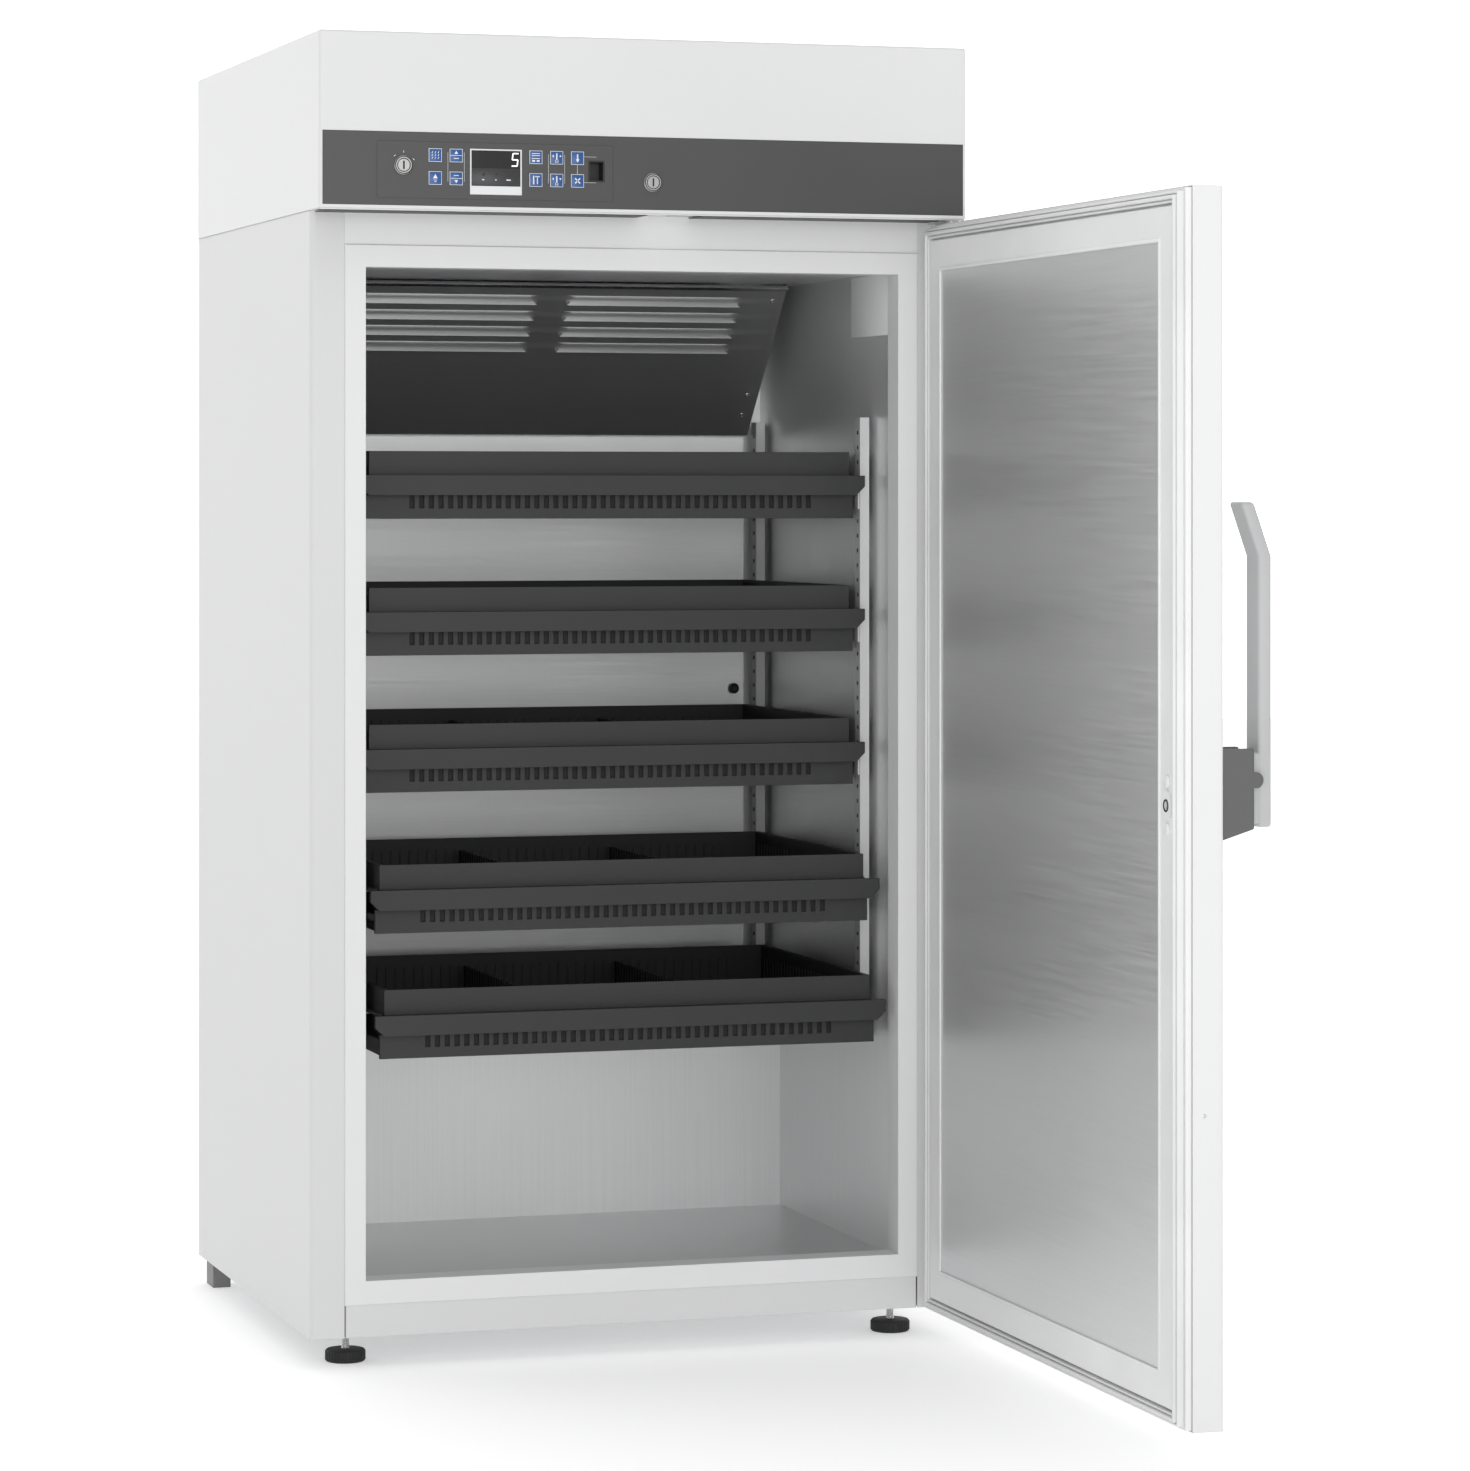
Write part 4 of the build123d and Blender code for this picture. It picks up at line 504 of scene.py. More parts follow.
bpy.ops.object.mode_set(mode="OBJECT")
sheet = louvred_plate.modifiers.new("sheet", "SOLIDIFY")
sheet.thickness = cover_sheet
sheet.offset = -1
bpy.ops.object.modifier_apply(modifier=sheet.name)
louvred_plate.data.transform(Matrix.Translation(cover_middle) @ Matrix.Rotation(cover_tilt, 4, "X"))
fit_piece(louvred_plate, "cabinet", "steel", cover_steel, "evaporator_cover")
louvred_plate.data.materials.append(shaded_hood_steel)
louvred_plate.data.materials.append(bright_steel)
cover_out = Vector((0, -sin(cover_tilt), cos(cover_tilt)))
cover_up = Vector((0, cos(cover_tilt), sin(cover_tilt)))
# Faces on the hoods take the darker copy, painted shade, and the hem along the top edge takes the
# bright steel, a painted highlight.
for face in louvred_plate.data.polygons:
    lifted = (face.center - cover_middle).dot(cover_out)
    along = (face.center - cover_middle).dot(cover_up)
    on_shaded_hood = lifted > hood_start and face.normal.dot(cover_out) > 0.3
    on_highlit_hem = lifted > hem_start and along > cover_length / 2 - 0.004
    face.material_index = 2 if on_highlit_hem else int(on_shaded_hood)
plate_screw_x = 0.2445
plate_screw_rows = (0.0855, -0.0475, -0.0765)
place_screws(
    "louvred_plate_screws", "cabinet", "steel", bright_steel,
    [
        cover_middle + Vector((side * plate_screw_x, 0, 0)) + cover_up * up
        for side in (-1, 1)
        for up in plate_screw_rows
    ],
    cover_out, 0.9,
)


# Fan and cooler behind the plate: a black moulded fan frame and rotor, and an
# aluminium finned block. The condenser at the lower back is finned in the same way.
fin_metal = ground_steel("fin_metal", (0.72, 0.73, 0.74), 0.35, (30, 1, 30))
finish_nodes(["fan_motor", "fan_rotor"], black_plastic)
finish_nodes(["evaporator", "condenser"], fin_metal)


# Uprights and rails: cold-rolled steel, zinc plated and bright, hooked in the liner.
# Each drawer runs on a pair of angles. Thin black blocks set in the posts' hook holes paint the shade
# inside them.
def make_row(piece, step, count):
    row = piece.modifiers.new("row", "ARRAY")
    row.count = count
    row.use_relative_offset = False
    row.use_constant_offset = True
    row.constant_offset_displace = step
    bpy.ops.object.modifier_apply(modifier=row.name)
    return piece


rail_steel = ground_steel("rail_steel", (0.56, 0.563, 0.566), 0.4, (60, 60, 0.8), 0.08, 0.5)
finish_nodes(["uprights", "drawer_rails"], rail_steel)
hook_pitch = 0.0151
hook_count = 41
hook_x = 0.2614
half_deep, half_wide, half_tall = 0.0002, 0.0029, 0.0019
post_half = 0.0085
post_low, post_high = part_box("uprights")
first_hole = (post_low.z + post_high.z) / 2 - (hook_count - 1) / 2 * hook_pitch
hook_hole_shades = []
for x in (-hook_x, hook_x):
    for y in (post_low.y + post_half, post_high.y - post_half):
        hole = shaped_block(
            "hook_hole_shade", (x - half_deep, y - half_wide, first_hole - half_tall),
            (x + half_deep, y + half_wide, first_hole + half_tall)
        )
        hook_hole_shades.append(make_row(hole, (0, 0, hook_pitch), hook_count))
fit_piece(join_pieces(hook_hole_shades, "hook_hole_shades"), "cabinet", "zinc_sheet", black_plastic)


# Drawers: injection moulded in one piece from anthracite plastic, with a grip band,
# slots in the front and upright ribs inside, and loose dividers with the same ribs.
drawer_plastic = moulded_plastic("drawer_plastic", (0.018, 0.0183, 0.019), 0.5)
finish_nodes([f"drawer_tray_{n}" for n in range(1, 6)], drawer_plastic)
finish_nodes([f"drawer_dividers_{n}" for n in range(1, 6)], drawer_plastic)
rib_pitch = 0.0099
rib_low, rib_high = -0.0625, -0.012
tray_low, tray_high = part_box("drawer_tray_1")
tray_back = tray_high.y - 0.0025


def rib_row(name, low, high, step, count):
    rib = shaped_block(name, low, high)
    pick_faces(rib, lambda face: face.normal.z > 0.9)
    bpy.ops.transform.resize(value=(0.55, 0.55, 1))
    bpy.ops.object.mode_set(mode="OBJECT")
    return make_row(rib, step, count)


rib_foot, rib_top = tray_high.z + rib_low, tray_high.z + rib_high
rib_half, rib_root = 0.001, 0.0004
back_rib_count, side_rib_count = 43, 33
first_rib = -(back_rib_count - 1) / 2 * rib_pitch
rib_rows = [rib_row(
    "back_ribs", (first_rib - rib_half, tray_back - 0.0016, rib_foot),
    (first_rib + rib_half, tray_back + rib_root, rib_top), (rib_pitch, 0, 0), back_rib_count
)]
side_start = tray_back - 0.331
ribbed_walls = ((-0.2465, 1), (-0.084, -1), (-0.082, 1), (0.082, -1), (0.084, 1), (0.2465, -1))
for wall, side in ribbed_walls:
    inner, outer = sorted((wall - side * rib_root, wall + side * 0.0014))
    rib_rows.append(rib_row(
        "side_ribs", (inner, side_start - rib_half, rib_foot),
        (outer, side_start + rib_half, rib_top), (0, rib_pitch, 0), side_rib_count
    ))
first_ribs = join_pieces(rib_rows, "drawer_ribs_1")


def repeat_in_drawers(first, name, material):
    copies = [first]
    for number in range(2, 6):
        copy = bpy.data.objects.new(f"{name}_{number}", first.data.copy())
        bpy.context.collection.objects.link(copy)
        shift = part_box(f"drawer_tray_{number}")[1] - tray_high
        copy.data.transform(Matrix.Translation(shift))
        copies.append(copy)
    for number, copy in enumerate(copies, 1):
        fit_piece(copy, f"drawer_{number}", "drawer_plastic", material)


repeat_in_drawers(first_ribs, "drawer_ribs", drawer_plastic)
# Thin black blocks at the bottom of each front slot paint the shade inside the slots.
slot_shade = moulded_plastic("slot_shade", (0.004, 0.004, 0.0042), 0.7)
slot_floor = tray_low.y + 0.0165
slot_half = 0.0022
slot_foot, slot_head = tray_high.z - 0.0567, tray_high.z - 0.0443
first_slot_shade = shaped_block(
    "drawer_slot_shades_1", (first_rib - slot_half, slot_floor - 0.00015, slot_foot),
    (first_rib + slot_half, slot_floor + 0.0001, slot_head)
)
make_row(first_slot_shade, (rib_pitch, 0, 0), back_rib_count)
repeat_in_drawers(first_slot_shade, "drawer_slot_shades", slot_shade)


# Hidden parts: the enamelled steel shell of the compressor in the lower back, the board
# behind the control strip, the foam poured between sheets and liner, and the mains inlet.
enamel = moulded_plastic("compressor_enamel", (0.012, 0.012, 0.013), 0.3, 500, 0.1, 0.4)
board_resin = moulded_plastic("board_resin", (0.03, 0.16, 0.06), 0.4)
# The foam is coloured a dark grey brown, darker than poured foam: partly its own colour, partly painted
# shade in the gaps between panels.
foam_and_gap_shade = moulded_plastic("foam_and_gap_shade", (0.34, 0.32, 0.27), 0.85, 260, 0.6)
finish_nodes(["compressor"], enamel)
finish_nodes(["control_board"], board_resin)
finish_nodes(["cabinet_insulation", "door_foam"], foam_and_gap_shade)
finish_nodes(["mains_inlet"], black_plastic)


# Head: a hood folded from sheet and powder coated like the cabinet, its lower lip
# drawn back over the door's top edge. A thin black sheet under it paints the shade in its open
# underside.
head_coat = powder_coat("head_powder_coat", (0.74, 0.742, 0.746), 0.46)
finish_nodes(["head_cover"], head_coat)
head_low, head_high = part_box("head_cover")
bolt_low, bolt_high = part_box("lock_bolt")
hinge_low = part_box("upper_hinge_bracket")[0]
shade_gap = 0.003
shade_front = head_low.y + 0.0045
shade_back = -0.2785
shade_ends = (
    (head_low.x + 2 * shade_gap, bolt_low.x - shade_gap),
    (bolt_high.x + shade_gap, hinge_low.x - shade_gap),
)
shade_low, shade_high = head_low.z - 0.0005, head_low.z + 0.0002
underside_shades = []
for left, right in shade_ends:
    underside_shades.append(shaped_block(
        "underside_shade", (left, shade_front, shade_low), (right, shade_back, shade_high)
    ))
fit_piece(join_pieces(underside_shades, "head_underside_shade"), "cabinet", "black_plastic", black_plastic)


# Control strip: a satin dark grey plastic strip with a printed membrane foil, which
# holds ten blue key fields with light borders and plain signs.
strip_plastic = moulded_plastic("control_strip_plastic", (0.062, 0.062, 0.0635), 0.42, 1400, 0.05)
key_blue = moulded_plastic("key_blue_print", (0.016, 0.09, 0.3), 0.4, 1400, 0.03, 0.2)
light_print = moulded_plastic("light_print", (0.9, 0.91, 0.93), 0.4, 1400, 0.03)
finish_nodes(["control_fascia", "keypad_foil"], strip_plastic)
key_columns = [-0.2168, -0.1959, -0.1158, -0.0948, -0.0737]
key_rows = [1.181, 1.1588]
key_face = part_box("keypad_foil")[0].y
key_half = 0.0065
key_border = 0.0005
field_height = 0.0004
border_height = 0.00015
print_height = 0.00012
rooted = 0.0001


def flat_bar(x, z, width, height, lean=0.0):
    bar = shaped_block(
        "bar", (x - width / 2, key_face - field_height - print_height, z - height / 2),
        (x + width / 2, key_face - field_height, z + height / 2)
    )
    bar.data.transform(
        Matrix.Translation((x, 0, z)) @ Matrix.Rotation(lean, 4, "Y") @ Matrix.Translation((-x, 0, -z))
    )
    return bar


def flat_wedge(x, z, radius, turn):
    place = (x, key_face - field_height - print_height / 2, z)
    wedge = round_bar("wedge", place, radius, print_height, 3, (pi / 2, turn, 0))
    bpy.ops.object.transform_apply(location=True, rotation=True, scale=True)
    return wedge


key_places = [(x, z) for x in key_columns for z in key_rows]
fields = []
for x, z in key_places:
    half = key_half - key_border
    fields.append(shaped_block(
        "key_field", (x - half, key_face - field_height, z - half),
        (x + half, key_face + rooted, z + half)
    ))
    round_edges(fields[-1], 0.0003)
fit_piece(join_pieces(fields, "key_fields"), "cabinet", "key_foil", key_blue)
borders = []
for x, z in key_places:
    borders.append(shaped_block(
        "key_border", (x - key_half, key_face - border_height, z - key_half),
        (x + key_half, key_face + rooted, z + key_half)
    ))
fit_piece(join_pieces(borders, "key_borders"), "cabinet", "key_foil", light_print)


# Signs on the keys, printed on the foil in light ink, here as thin bars and wedges: strokes
# and a lamp, two limits, a list and a post, two gauges, and an arrow over a cross.
top, low = key_rows
stroke_x, limit_x, list_x, gauge_x, arrow_x = key_columns
signs = []
for z in (top + 0.0027, top, top - 0.0027):
    signs += [flat_bar(stroke_x + i * 0.003, z, 0.0006, 0.0022, 0.45) for i in (-1, 0, 1)]
signs += [
    flat_wedge(stroke_x, low + 0.001, 0.0028, 0),
    flat_bar(stroke_x, low - 0.002, 0.0034, 0.0007),
    flat_bar(stroke_x, low - 0.0036, 0.0022, 0.0007),
]
for z, up, turn in ((top, 1, 0), (low, -1, pi)):
    signs += [
        flat_wedge(limit_x, z + up * 0.0026, 0.0021, turn),
        flat_bar(limit_x, z, 0.0118, 0.0005),
        flat_bar(limit_x, z - up * 0.0028, 0.005, 0.0008),
    ]
signs += [flat_bar(list_x, top + rise, 0.0085, 0.0008) for rise in (0.0036, 0.0016, -0.0012)]
signs += [
    flat_bar(list_x - 0.0024, top - 0.0036, 0.003, 0.0016),
    flat_bar(list_x + 0.0022, top - 0.0036, 0.003, 0.0016),
    flat_bar(list_x - 0.0024, low, 0.0012, 0.0085),
    flat_bar(list_x + 0.0014, low + 0.0034, 0.0046, 0.001),
    flat_bar(list_x + 0.0014, low - 0.0004, 0.001, 0.0072),
]
for z, turn in ((top, 0), (low, pi)):
    signs += [
        flat_bar(gauge_x, z, 0.0013, 0.0085),
        flat_bar(gauge_x, z - 0.0036, 0.003, 0.0024),
        flat_wedge(gauge_x + 0.0036, z + 0.0015, 0.0014, turn),
        flat_bar(gauge_x - 0.0036, z + 0.0015, 0.0012, 0.0022),
    ]
signs += [
    flat_bar(arrow_x, top + 0.0014, 0.0014, 0.005),
    flat_wedge(arrow_x, top - 0.0022, 0.0022, pi),
]
signs += [flat_bar(arrow_x, low, 0.0012, 0.0072, lean) for lean in (0.785, -0.785)]
fit_piece(join_pieces(signs, "key_signs"), "cabinet", "key_foil", light_print)


# Lines on the foil, printed in the same ink: they join the keys that belong together and
# lead to the slot, and three ticks stand round the key switch.
foil_face = key_face + 0.0004
line_half = 0.00018
pair_side = 0.0082
slot_line = (-0.0668, -0.0545)
switch_ticks = ((-0.2572, 1.1797, 0.8), (-0.2483, 1.1838, 0), (-0.2384, 1.1765, -0.9))


def foil_line(left, right, bottom, upper):
    front, back = foil_face - rooted, foil_face + rooted
    return shaped_block("line", (left, front, bottom), (right, back, upper))


lines = []
for column in (limit_x, gauge_x):
    for x in (column - pair_side, column + pair_side):
        lines.append(foil_line(x - line_half, x + line_half, low - 0.003, top + 0.003))
for z in (top + 0.0015, low - 0.0015):
    lines.append(foil_line(slot_line[0], slot_line[1], z - line_half, z + line_half))
lines.append(foil_line(arrow_x - 0.0002, arrow_x + 0.0002, low + 0.0068, top - 0.0068))
for x, z, lean in switch_ticks:
    tick = flat_bar(x, z, 0.0006, 0.0022, lean)
    tick.data.transform(Matrix.Translation((0, 0.0003, 0)))
    lines.append(tick)
fit_piece(join_pieces(lines, "foil_lines"), "cabinet", "key_foil", light_print)


# Display: a black glossy window with one lit digit, a grey lower field with three lamps
# and their signs, and a plain light strip along the foot of its frame.
window_plastic = moulded_plastic("display_window_plastic", (0.008, 0.008, 0.009), 0.12, 1800, 0.01, 0.5)
lamp_plastic = moulded_plastic("lamp_plastic", (0.02, 0.012, 0.012), 0.25, 900, 0.05, 0.4)
border_plastic = moulded_plastic("display_border_print", (0.78, 0.79, 0.8), 0.4, 1400, 0.03)
field_plastic = moulded_plastic("display_field_plastic", (0.04, 0.04, 0.042), 0.4, 1400, 0.03)
digit_light = bpy.data.materials.new("digit_light")
digit_light.use_nodes = True
digit_shader = digit_light.node_tree.nodes["Principled BSDF"]
digit_shader.inputs["Base Color"].default_value = (0.9, 0.9, 0.9, 1)
digit_shader.inputs["Emission Color"].default_value = (1, 1, 1, 1)
digit_shader.inputs["Emission Strength"].default_value = 0.7
finish_nodes(["display_frame"], border_plastic)
finish_nodes(["display_window"], window_plastic)
finish_nodes(["indicator_lamps"], lamp_plastic)
window_low, window_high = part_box("display_window")
field_top = 1.1694
lower_field = shaped_block(
    "display_lower_field", (window_low.x, window_low.y - 0.0003, window_low.z),
    (window_high.x, window_low.y + rooted, field_top)
)
round_edges(lower_field, 0.0001)
fit_piece(lower_field, "cabinet", "dark_window", field_plastic)
digit_x, digit_z = -0.1366, 1.1781
digit_wide, digit_tall, stroke = 0.0056, 0.0122, 0.0012
digit_lean = 0.12
bars_of_five = [(0, rise, digit_wide, stroke) for rise in (digit_tall / 2, 0, -digit_tall / 2)]
bars_of_five += [
    (-digit_wide / 2, digit_tall / 4, stroke, digit_tall / 2),
    (digit_wide / 2, -digit_tall / 4, stroke, digit_tall / 2),
]
strokes = []
for dx, dz, wide, tall in bars_of_five:
    strokes.append(shaped_block(
        "stroke", (digit_x + dx - wide / 2, window_low.y - 0.0002, digit_z + dz - tall / 2),
        (digit_x + dx + wide / 2, window_low.y + rooted, digit_z + dz + tall / 2)
    ))
digit = join_pieces(strokes, "display_digit")
for vertex in digit.data.vertices:
    vertex.co.x += (vertex.co.z - digit_z) * digit_lean
fit_piece(digit, "cabinet", "lamp", digit_light)
lamp_low, lamp_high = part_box("indicator_lamps")
lamp_half = 0.0012
sign_widths = (
    (lamp_low.x + lamp_half, 0.0022),
    ((lamp_low.x + lamp_high.x) / 2, 0.0016),
    (lamp_high.x - lamp_half, 0.0044),
)
sign_front, sign_back = window_low.y - 0.0004, window_low.y - 0.0002
sign_foot, sign_top = lamp_low.z - 0.0042, lamp_low.z - 0.003
lamp_signs = []
for x, wide in sign_widths:
    lamp_signs.append(shaped_block(
        "lamp_sign", (x - wide / 2, sign_front, sign_foot), (x + wide / 2, sign_back, sign_top)
    ))
fit_piece(join_pieces(lamp_signs, "lamp_signs"), "cabinet", "dark_window", light_print)


# Key switch and door lock: turned and nickel plated rosettes with two thin shadow rings
# round the barrel, and a black block in its keyway as painted shade. The slot beside the keys takes a
# memory card.
lock_steel = ground_steel("lock_nickel", (0.42, 0.42, 0.415), 0.36, (30, 30, 30), 0.1, 0.9)
finish_nodes(["key_switch_bezel", "lock_rosette"], lock_steel)
finish_nodes(["key_switch_barrel", "lock_barrel", "lock_bolt"], lock_steel)
finish_nodes(["card_slot"], black_plastic)
groove_radii = (0.0064, 0.0082)
groove_half = 0.0004
keyway_half_width = 0.0007
keyway_half_height = 0.0036


def round_ring(name, place, turn, radius, thickness, around=48, across=8):
    bpy.ops.object.select_all(action="DESELECT")
    bpy.ops.mesh.primitive_torus_add(
        location=place, rotation=turn, major_radius=radius, minor_radius=thickness,
        major_segments=around, minor_segments=across,
    )
    ring = bpy.context.object
    ring.name = name
    return ring


for body, rosette in (("key_switch", "key_switch_bezel"), ("lock", "lock_rosette")):
    low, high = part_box(rosette)
    x, z = (low.x + high.x) / 2, (low.z + high.z) / 2
    shadow_rings = []
    for radius in groove_radii:
        ring = round_ring("ring", (x, low.y - 0.00005, z), (pi / 2, 0, 0), radius, groove_half)
        ring.scale = (1, 1, 0.6)
        shadow_rings.append(ring)
    fit_piece(join_pieces(shadow_rings, f"{body}_rings"), "cabinet", "black_plastic", black_plastic)
    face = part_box(f"{body}_barrel")[0].y
    keyway_shade = shaped_block(
        f"{body}_keyway", (x - keyway_half_width, face + 0.0003, z - keyway_half_height),
        (x + keyway_half_width, face + 0.0009, z + keyway_half_height)
    )
    fit_piece(keyway_shade, body, "black_plastic", black_plastic)


# Door shell: a folded steel pan, powder coated white, filled with foam and closed by
# a plastic profile frame that carries the steel inner panel.
door_coat = powder_coat("door_powder_coat", (0.76, 0.762, 0.766), 0.46)
frame_plastic = moulded_plastic("door_frame_plastic", (0.82, 0.823, 0.826), 0.36, 1200, 0.04)
door_steel = ground_steel("door_panel_steel", (0.76, 0.763, 0.766), 0.36, (60, 1.2, 60), 0.1, 0.7)
finish_nodes(["door_shell"], door_coat)
finish_nodes(["hinge_bushes", "door_inner_frame", "handle_keeper_plate"], frame_plastic)
finish_nodes(["door_panel"], door_steel)


# Seal and bead: a soft profile pushed in the groove of the door's frame, with two
# folds and a magnet lip, and a thin bead that holds the edge of the steel panel.
def ring_rows(name, x, low, high, widths, heights, soft):
    bpy.ops.object.select_all(action="DESELECT")
    bpy.ops.mesh.primitive_plane_add(
        size=1, location=(x, (low[0] + high[0]) / 2, (low[1] + high[1]) / 2), rotation=(0, -pi / 2, 0)
    )
    ring = bpy.context.object
    ring.name = name
    ring.scale = (high[1] - low[1], high[0] - low[0], 1)
    bpy.ops.object.transform_apply(location=True, rotation=True, scale=True)
    bpy.ops.object.mode_set(mode="EDIT")
    bpy.ops.mesh.select_mode(type="FACE")
    bpy.ops.mesh.select_all(action="SELECT")
    for width in widths:
        bpy.ops.mesh.inset(thickness=width, depth=0)
    bpy.ops.mesh.delete(type="FACE")
    bpy.ops.mesh.select_all(action="SELECT")
    bpy.ops.mesh.extrude_region_move(TRANSFORM_OT_translate={"value": (-0.001, 0, 0)})
    start = 0.0
    for width, height in zip(widths, heights):
        bpy.ops.mesh.select_all(action="DESELECT")
        bpy.ops.object.mode_set(mode="OBJECT")
        for face in ring.data.polygons:
            y, z = face.center.y, face.center.z
            inward = min(y - low[0], high[0] - y, z - low[1], high[1] - z)
            top = face.normal.x < -0.9 and abs(face.center.x - x + 0.001) < 1e-5
            face.select = top and start < inward < start + width
        start += width
        bpy.ops.object.mode_set(mode="EDIT")
        if height > 0:
            bpy.ops.mesh.extrude_region_move(TRANSFORM_OT_translate={"value": (-height, 0, 0)})
    bpy.ops.mesh.select_all(action="SELECT")
    bpy.ops.mesh.normals_make_consistent(inside=False)
    bpy.ops.object.mode_set(mode="OBJECT")
    round_edges(ring, soft, 3)
    return ring


seal_rubber = moulded_plastic("seal_rubber", (0.76, 0.764, 0.768), 0.5, 500, 0.08)
seal_low, seal_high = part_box("door_gasket")
fold_widths = (0.0022, 0.0012, 0.0034, 0.0012, 0.002)
fold_heights = (0.0055, 0.0032, 0.008, 0.0042, 0.0062)
door_seal = ring_rows(
    "door_seal", seal_high.x, (seal_low.y, seal_low.z), (seal_high.y, seal_high.z),
    fold_widths, fold_heights, 0.0006,
)
fit_piece(door_seal, "door", "gasket_rubber", seal_rubber, "door_gasket")
panel_low, panel_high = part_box("door_panel")
frame_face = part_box("door_inner_frame")[0].x
bead_lap = 0.003
bead = ring_rows(
    "panel_bead", frame_face + 0.001, (panel_low.y - bead_lap, panel_low.z - bead_lap),
    (panel_high.y + bead_lap, panel_high.z + bead_lap), (0.0034,), (0.0011,), 0.0007,
)
fit_piece(bead, "door", "white_plastic", frame_plastic)


# Keeper plate of the release pin: the moulded oval plate keeps its CAD shape. Two domed
# caps cover its screws above and below the hole, and a black ring seals the pin.
handle_y = -0.9315
pin_z = 0.578
cap_step = 0.021
cap_radius = 0.0054
cap_height = 0.0028
for name, z in (("keeper_cap_low", pin_z - cap_step), ("keeper_cap_high", pin_z + cap_step)):
    place = (frame_face - 0.0008, handle_y, z)
    cap = round_bar(name, place, cap_radius, cap_height, 40, (0, -pi / 2, 0))
    round_edges(cap, 0.0013, 4)
    fit_piece(cap, "door", "white_plastic", frame_plastic)
keeper_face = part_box("handle_keeper_plate")[0].x
pin_place = (keeper_face, handle_y, pin_z)
pin_seal = round_ring("pin_seal", pin_place, (0, pi / 2, 0), 0.0049, 0.0009, 40)
fit_piece(pin_seal, "door", "white_plastic", black_plastic)


# Handle: a tall lever moulded in light grey over a steel core, in a dark grey bracket
# screwed to the door. Its pin pushes the door off the cabinet.
lever_plastic = moulded_plastic("lever_grey_plastic", (0.47, 0.474, 0.478), 0.4, 1400, 0.05, soft=0.003)
bracket_plastic = moulded_plastic("bracket_grey_plastic", (0.11, 0.11, 0.112), 0.5, soft=0.0014)
lever_low, lever_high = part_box("handle_lever")
bpy.ops.object.select_all(action="DESELECT")
bpy.ops.mesh.primitive_plane_add(size=1, rotation=(pi / 2, 0, 0))
lever_grip = bpy.context.object
bpy.ops.object.transform_apply(location=True, rotation=True, scale=True)
bpy.ops.object.mode_set(mode="EDIT")
bpy.ops.mesh.select_all(action="SELECT")
bpy.ops.mesh.bisect(plane_co=(0, 0, 0), plane_no=(0, 0, 1))
bpy.ops.mesh.select_all(action="SELECT")
bpy.ops.mesh.extrude_region_move(TRANSFORM_OT_translate={"value": (0, 1, 0)})
bpy.ops.mesh.select_all(action="SELECT")
bpy.ops.mesh.normals_make_consistent(inside=False)
bpy.ops.object.mode_set(mode="OBJECT")
grip_inner, grip_outer = 0.3758, 0.3886
grip_bend, grip_lean = 0.7975, 0.0168
grip_rows = {-0.5: (lever_low.z, 0), 0: (grip_bend, 0), 0.5: (lever_high.z, grip_lean)}
for vertex in lever_grip.data.vertices:
    height, lean = grip_rows[round(vertex.co.z, 1)]
    vertex.co = (
        (grip_inner if vertex.co.x < 0 else grip_outer) - lean,
        lever_low.y if vertex.co.y < 0.5 else lever_high.y,
        height,
    )
round_edges(lever_grip, 0.0032, 5)
foot_inset = 0.001
foot_top = 0.624
lever_foot = shaped_block(
    "lever_foot", (lever_low.x, lever_low.y + foot_inset, lever_low.z + 0.003),
    (grip_inner + 0.0036, lever_high.y - foot_inset, foot_top)
)
round_edges(lever_foot, 0.002, 3)
lever = join_pieces([lever_grip, lever_foot], "lever")
fit_piece(lever, "lever", "light_grey", lever_plastic, "handle_lever")
finish_nodes(["handle_bracket"], bracket_plastic)
finish_nodes(["release_plunger"], bright_steel)
strip_screw = (0.3185, -0.9585, 0.3065)
place_screws("edge_strip_screw", "door", "white_plastic", bright_steel, [strip_screw], (0, -1, 0), 0.7)


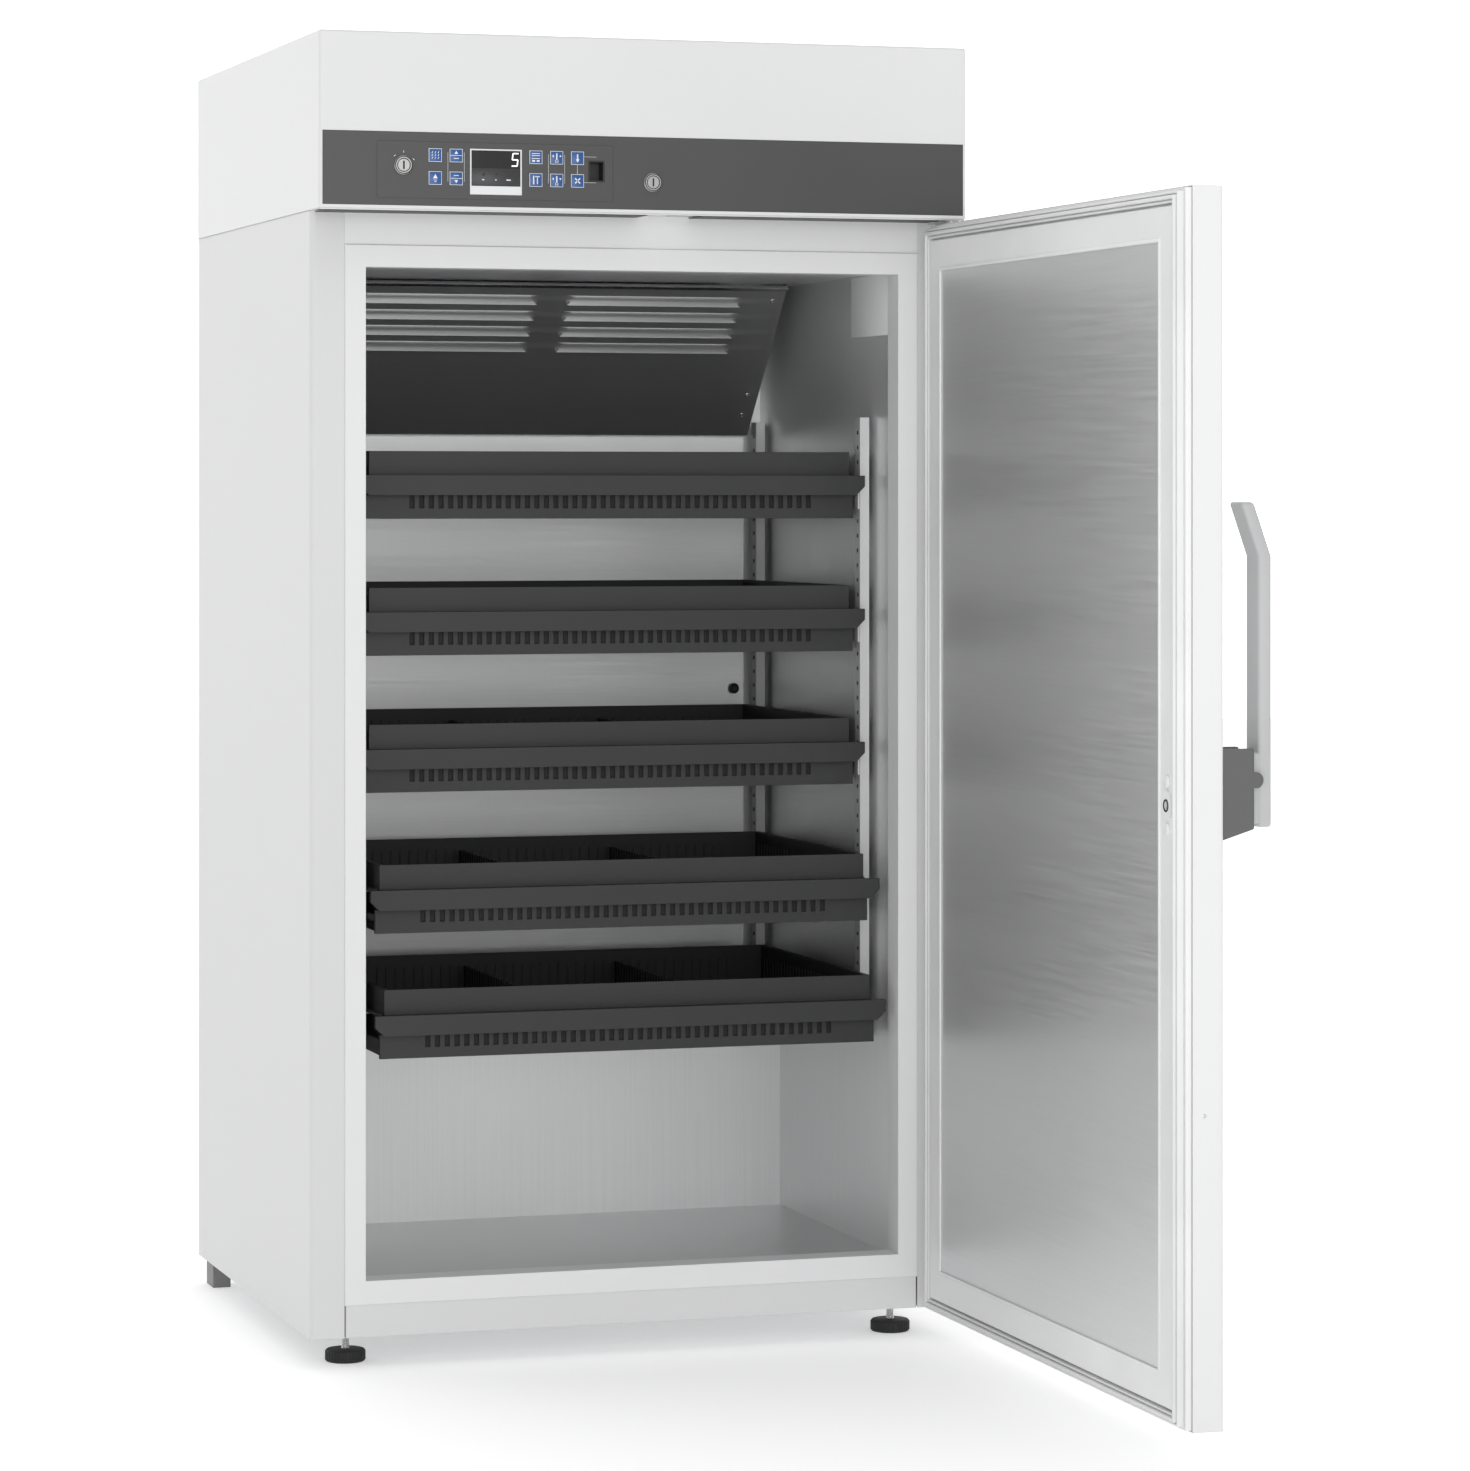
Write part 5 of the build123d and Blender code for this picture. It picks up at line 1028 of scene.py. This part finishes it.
# Front feet: black rubber pads with a grip edge on threaded spindles, each locked by
# a nut under the base. The rear feet are plain grey blocks.
foot_plastic = moulded_plastic("foot_grey_plastic", (0.2, 0.2, 0.2), 0.55)
pad_rubber = moulded_plastic("pad_rubber", (0.012, 0.012, 0.012), 0.6, 600, 0.3)
finish_nodes(["rear_feet"], foot_plastic)
finish_nodes(["levelling_nuts"], bright_steel)
foot_x, foot_y = 0.284, -0.228
pad_radius, pad_height = 0.0194, 0.012
spindle_radius, spindle_length = 0.0036, 0.034
thread_pitch, thread_turns = 0.00125, 26
spindle_middle = pad_height + spindle_length / 2
first_turn = 0.0128
sort_start = Vector((1, 0.001))
pads, threads = [], []
for x in (-foot_x, foot_x):
    pad = round_bar("pad", (x, foot_y, pad_height / 2), pad_radius, pad_height, 72)
    bpy.ops.object.transform_apply(location=True, rotation=True, scale=True)
    round_edges(pad, 0.0016, 3)
    middle = Vector((x, foot_y))
    sides = [face for face in pad.data.polygons if abs(face.normal.z) < 0.05]
    sides.sort(key=lambda face: (face.center.xy - middle).angle_signed(sort_start))
    grips = {face.index for face in sides[::2]}
    pick_faces(pad, lambda face: face.index in grips)
    bpy.ops.mesh.inset(use_individual=True, thickness=0.0002, depth=0.0006)
    bpy.ops.object.mode_set(mode="OBJECT")
    pads.append(pad)
    spindle = round_bar("spindle", (x, foot_y, spindle_middle), spindle_radius, spindle_length)
    bpy.ops.object.transform_apply(location=True, rotation=True, scale=True)
    round_edges(spindle, 0.0004)
    turns = round_ring("turns", (x, foot_y, first_turn), (0, 0, 0), spindle_radius, 0.0004, 32, 6)
    make_row(turns, (0, 0, thread_pitch), thread_turns)
    bpy.ops.object.transform_apply(location=True, rotation=True, scale=True)
    threads += [spindle, turns]
foot_pads = join_pieces(pads, "foot_pads")
fit_piece(foot_pads, "cabinet", "pad_rubber", pad_rubber, "levelling_feet")
foot_spindles = join_pieces(threads, "foot_spindles")
fit_piece(foot_spindles, "cabinet", "bright_steel", bright_steel)

bpy.data.objects.remove(master_screw)
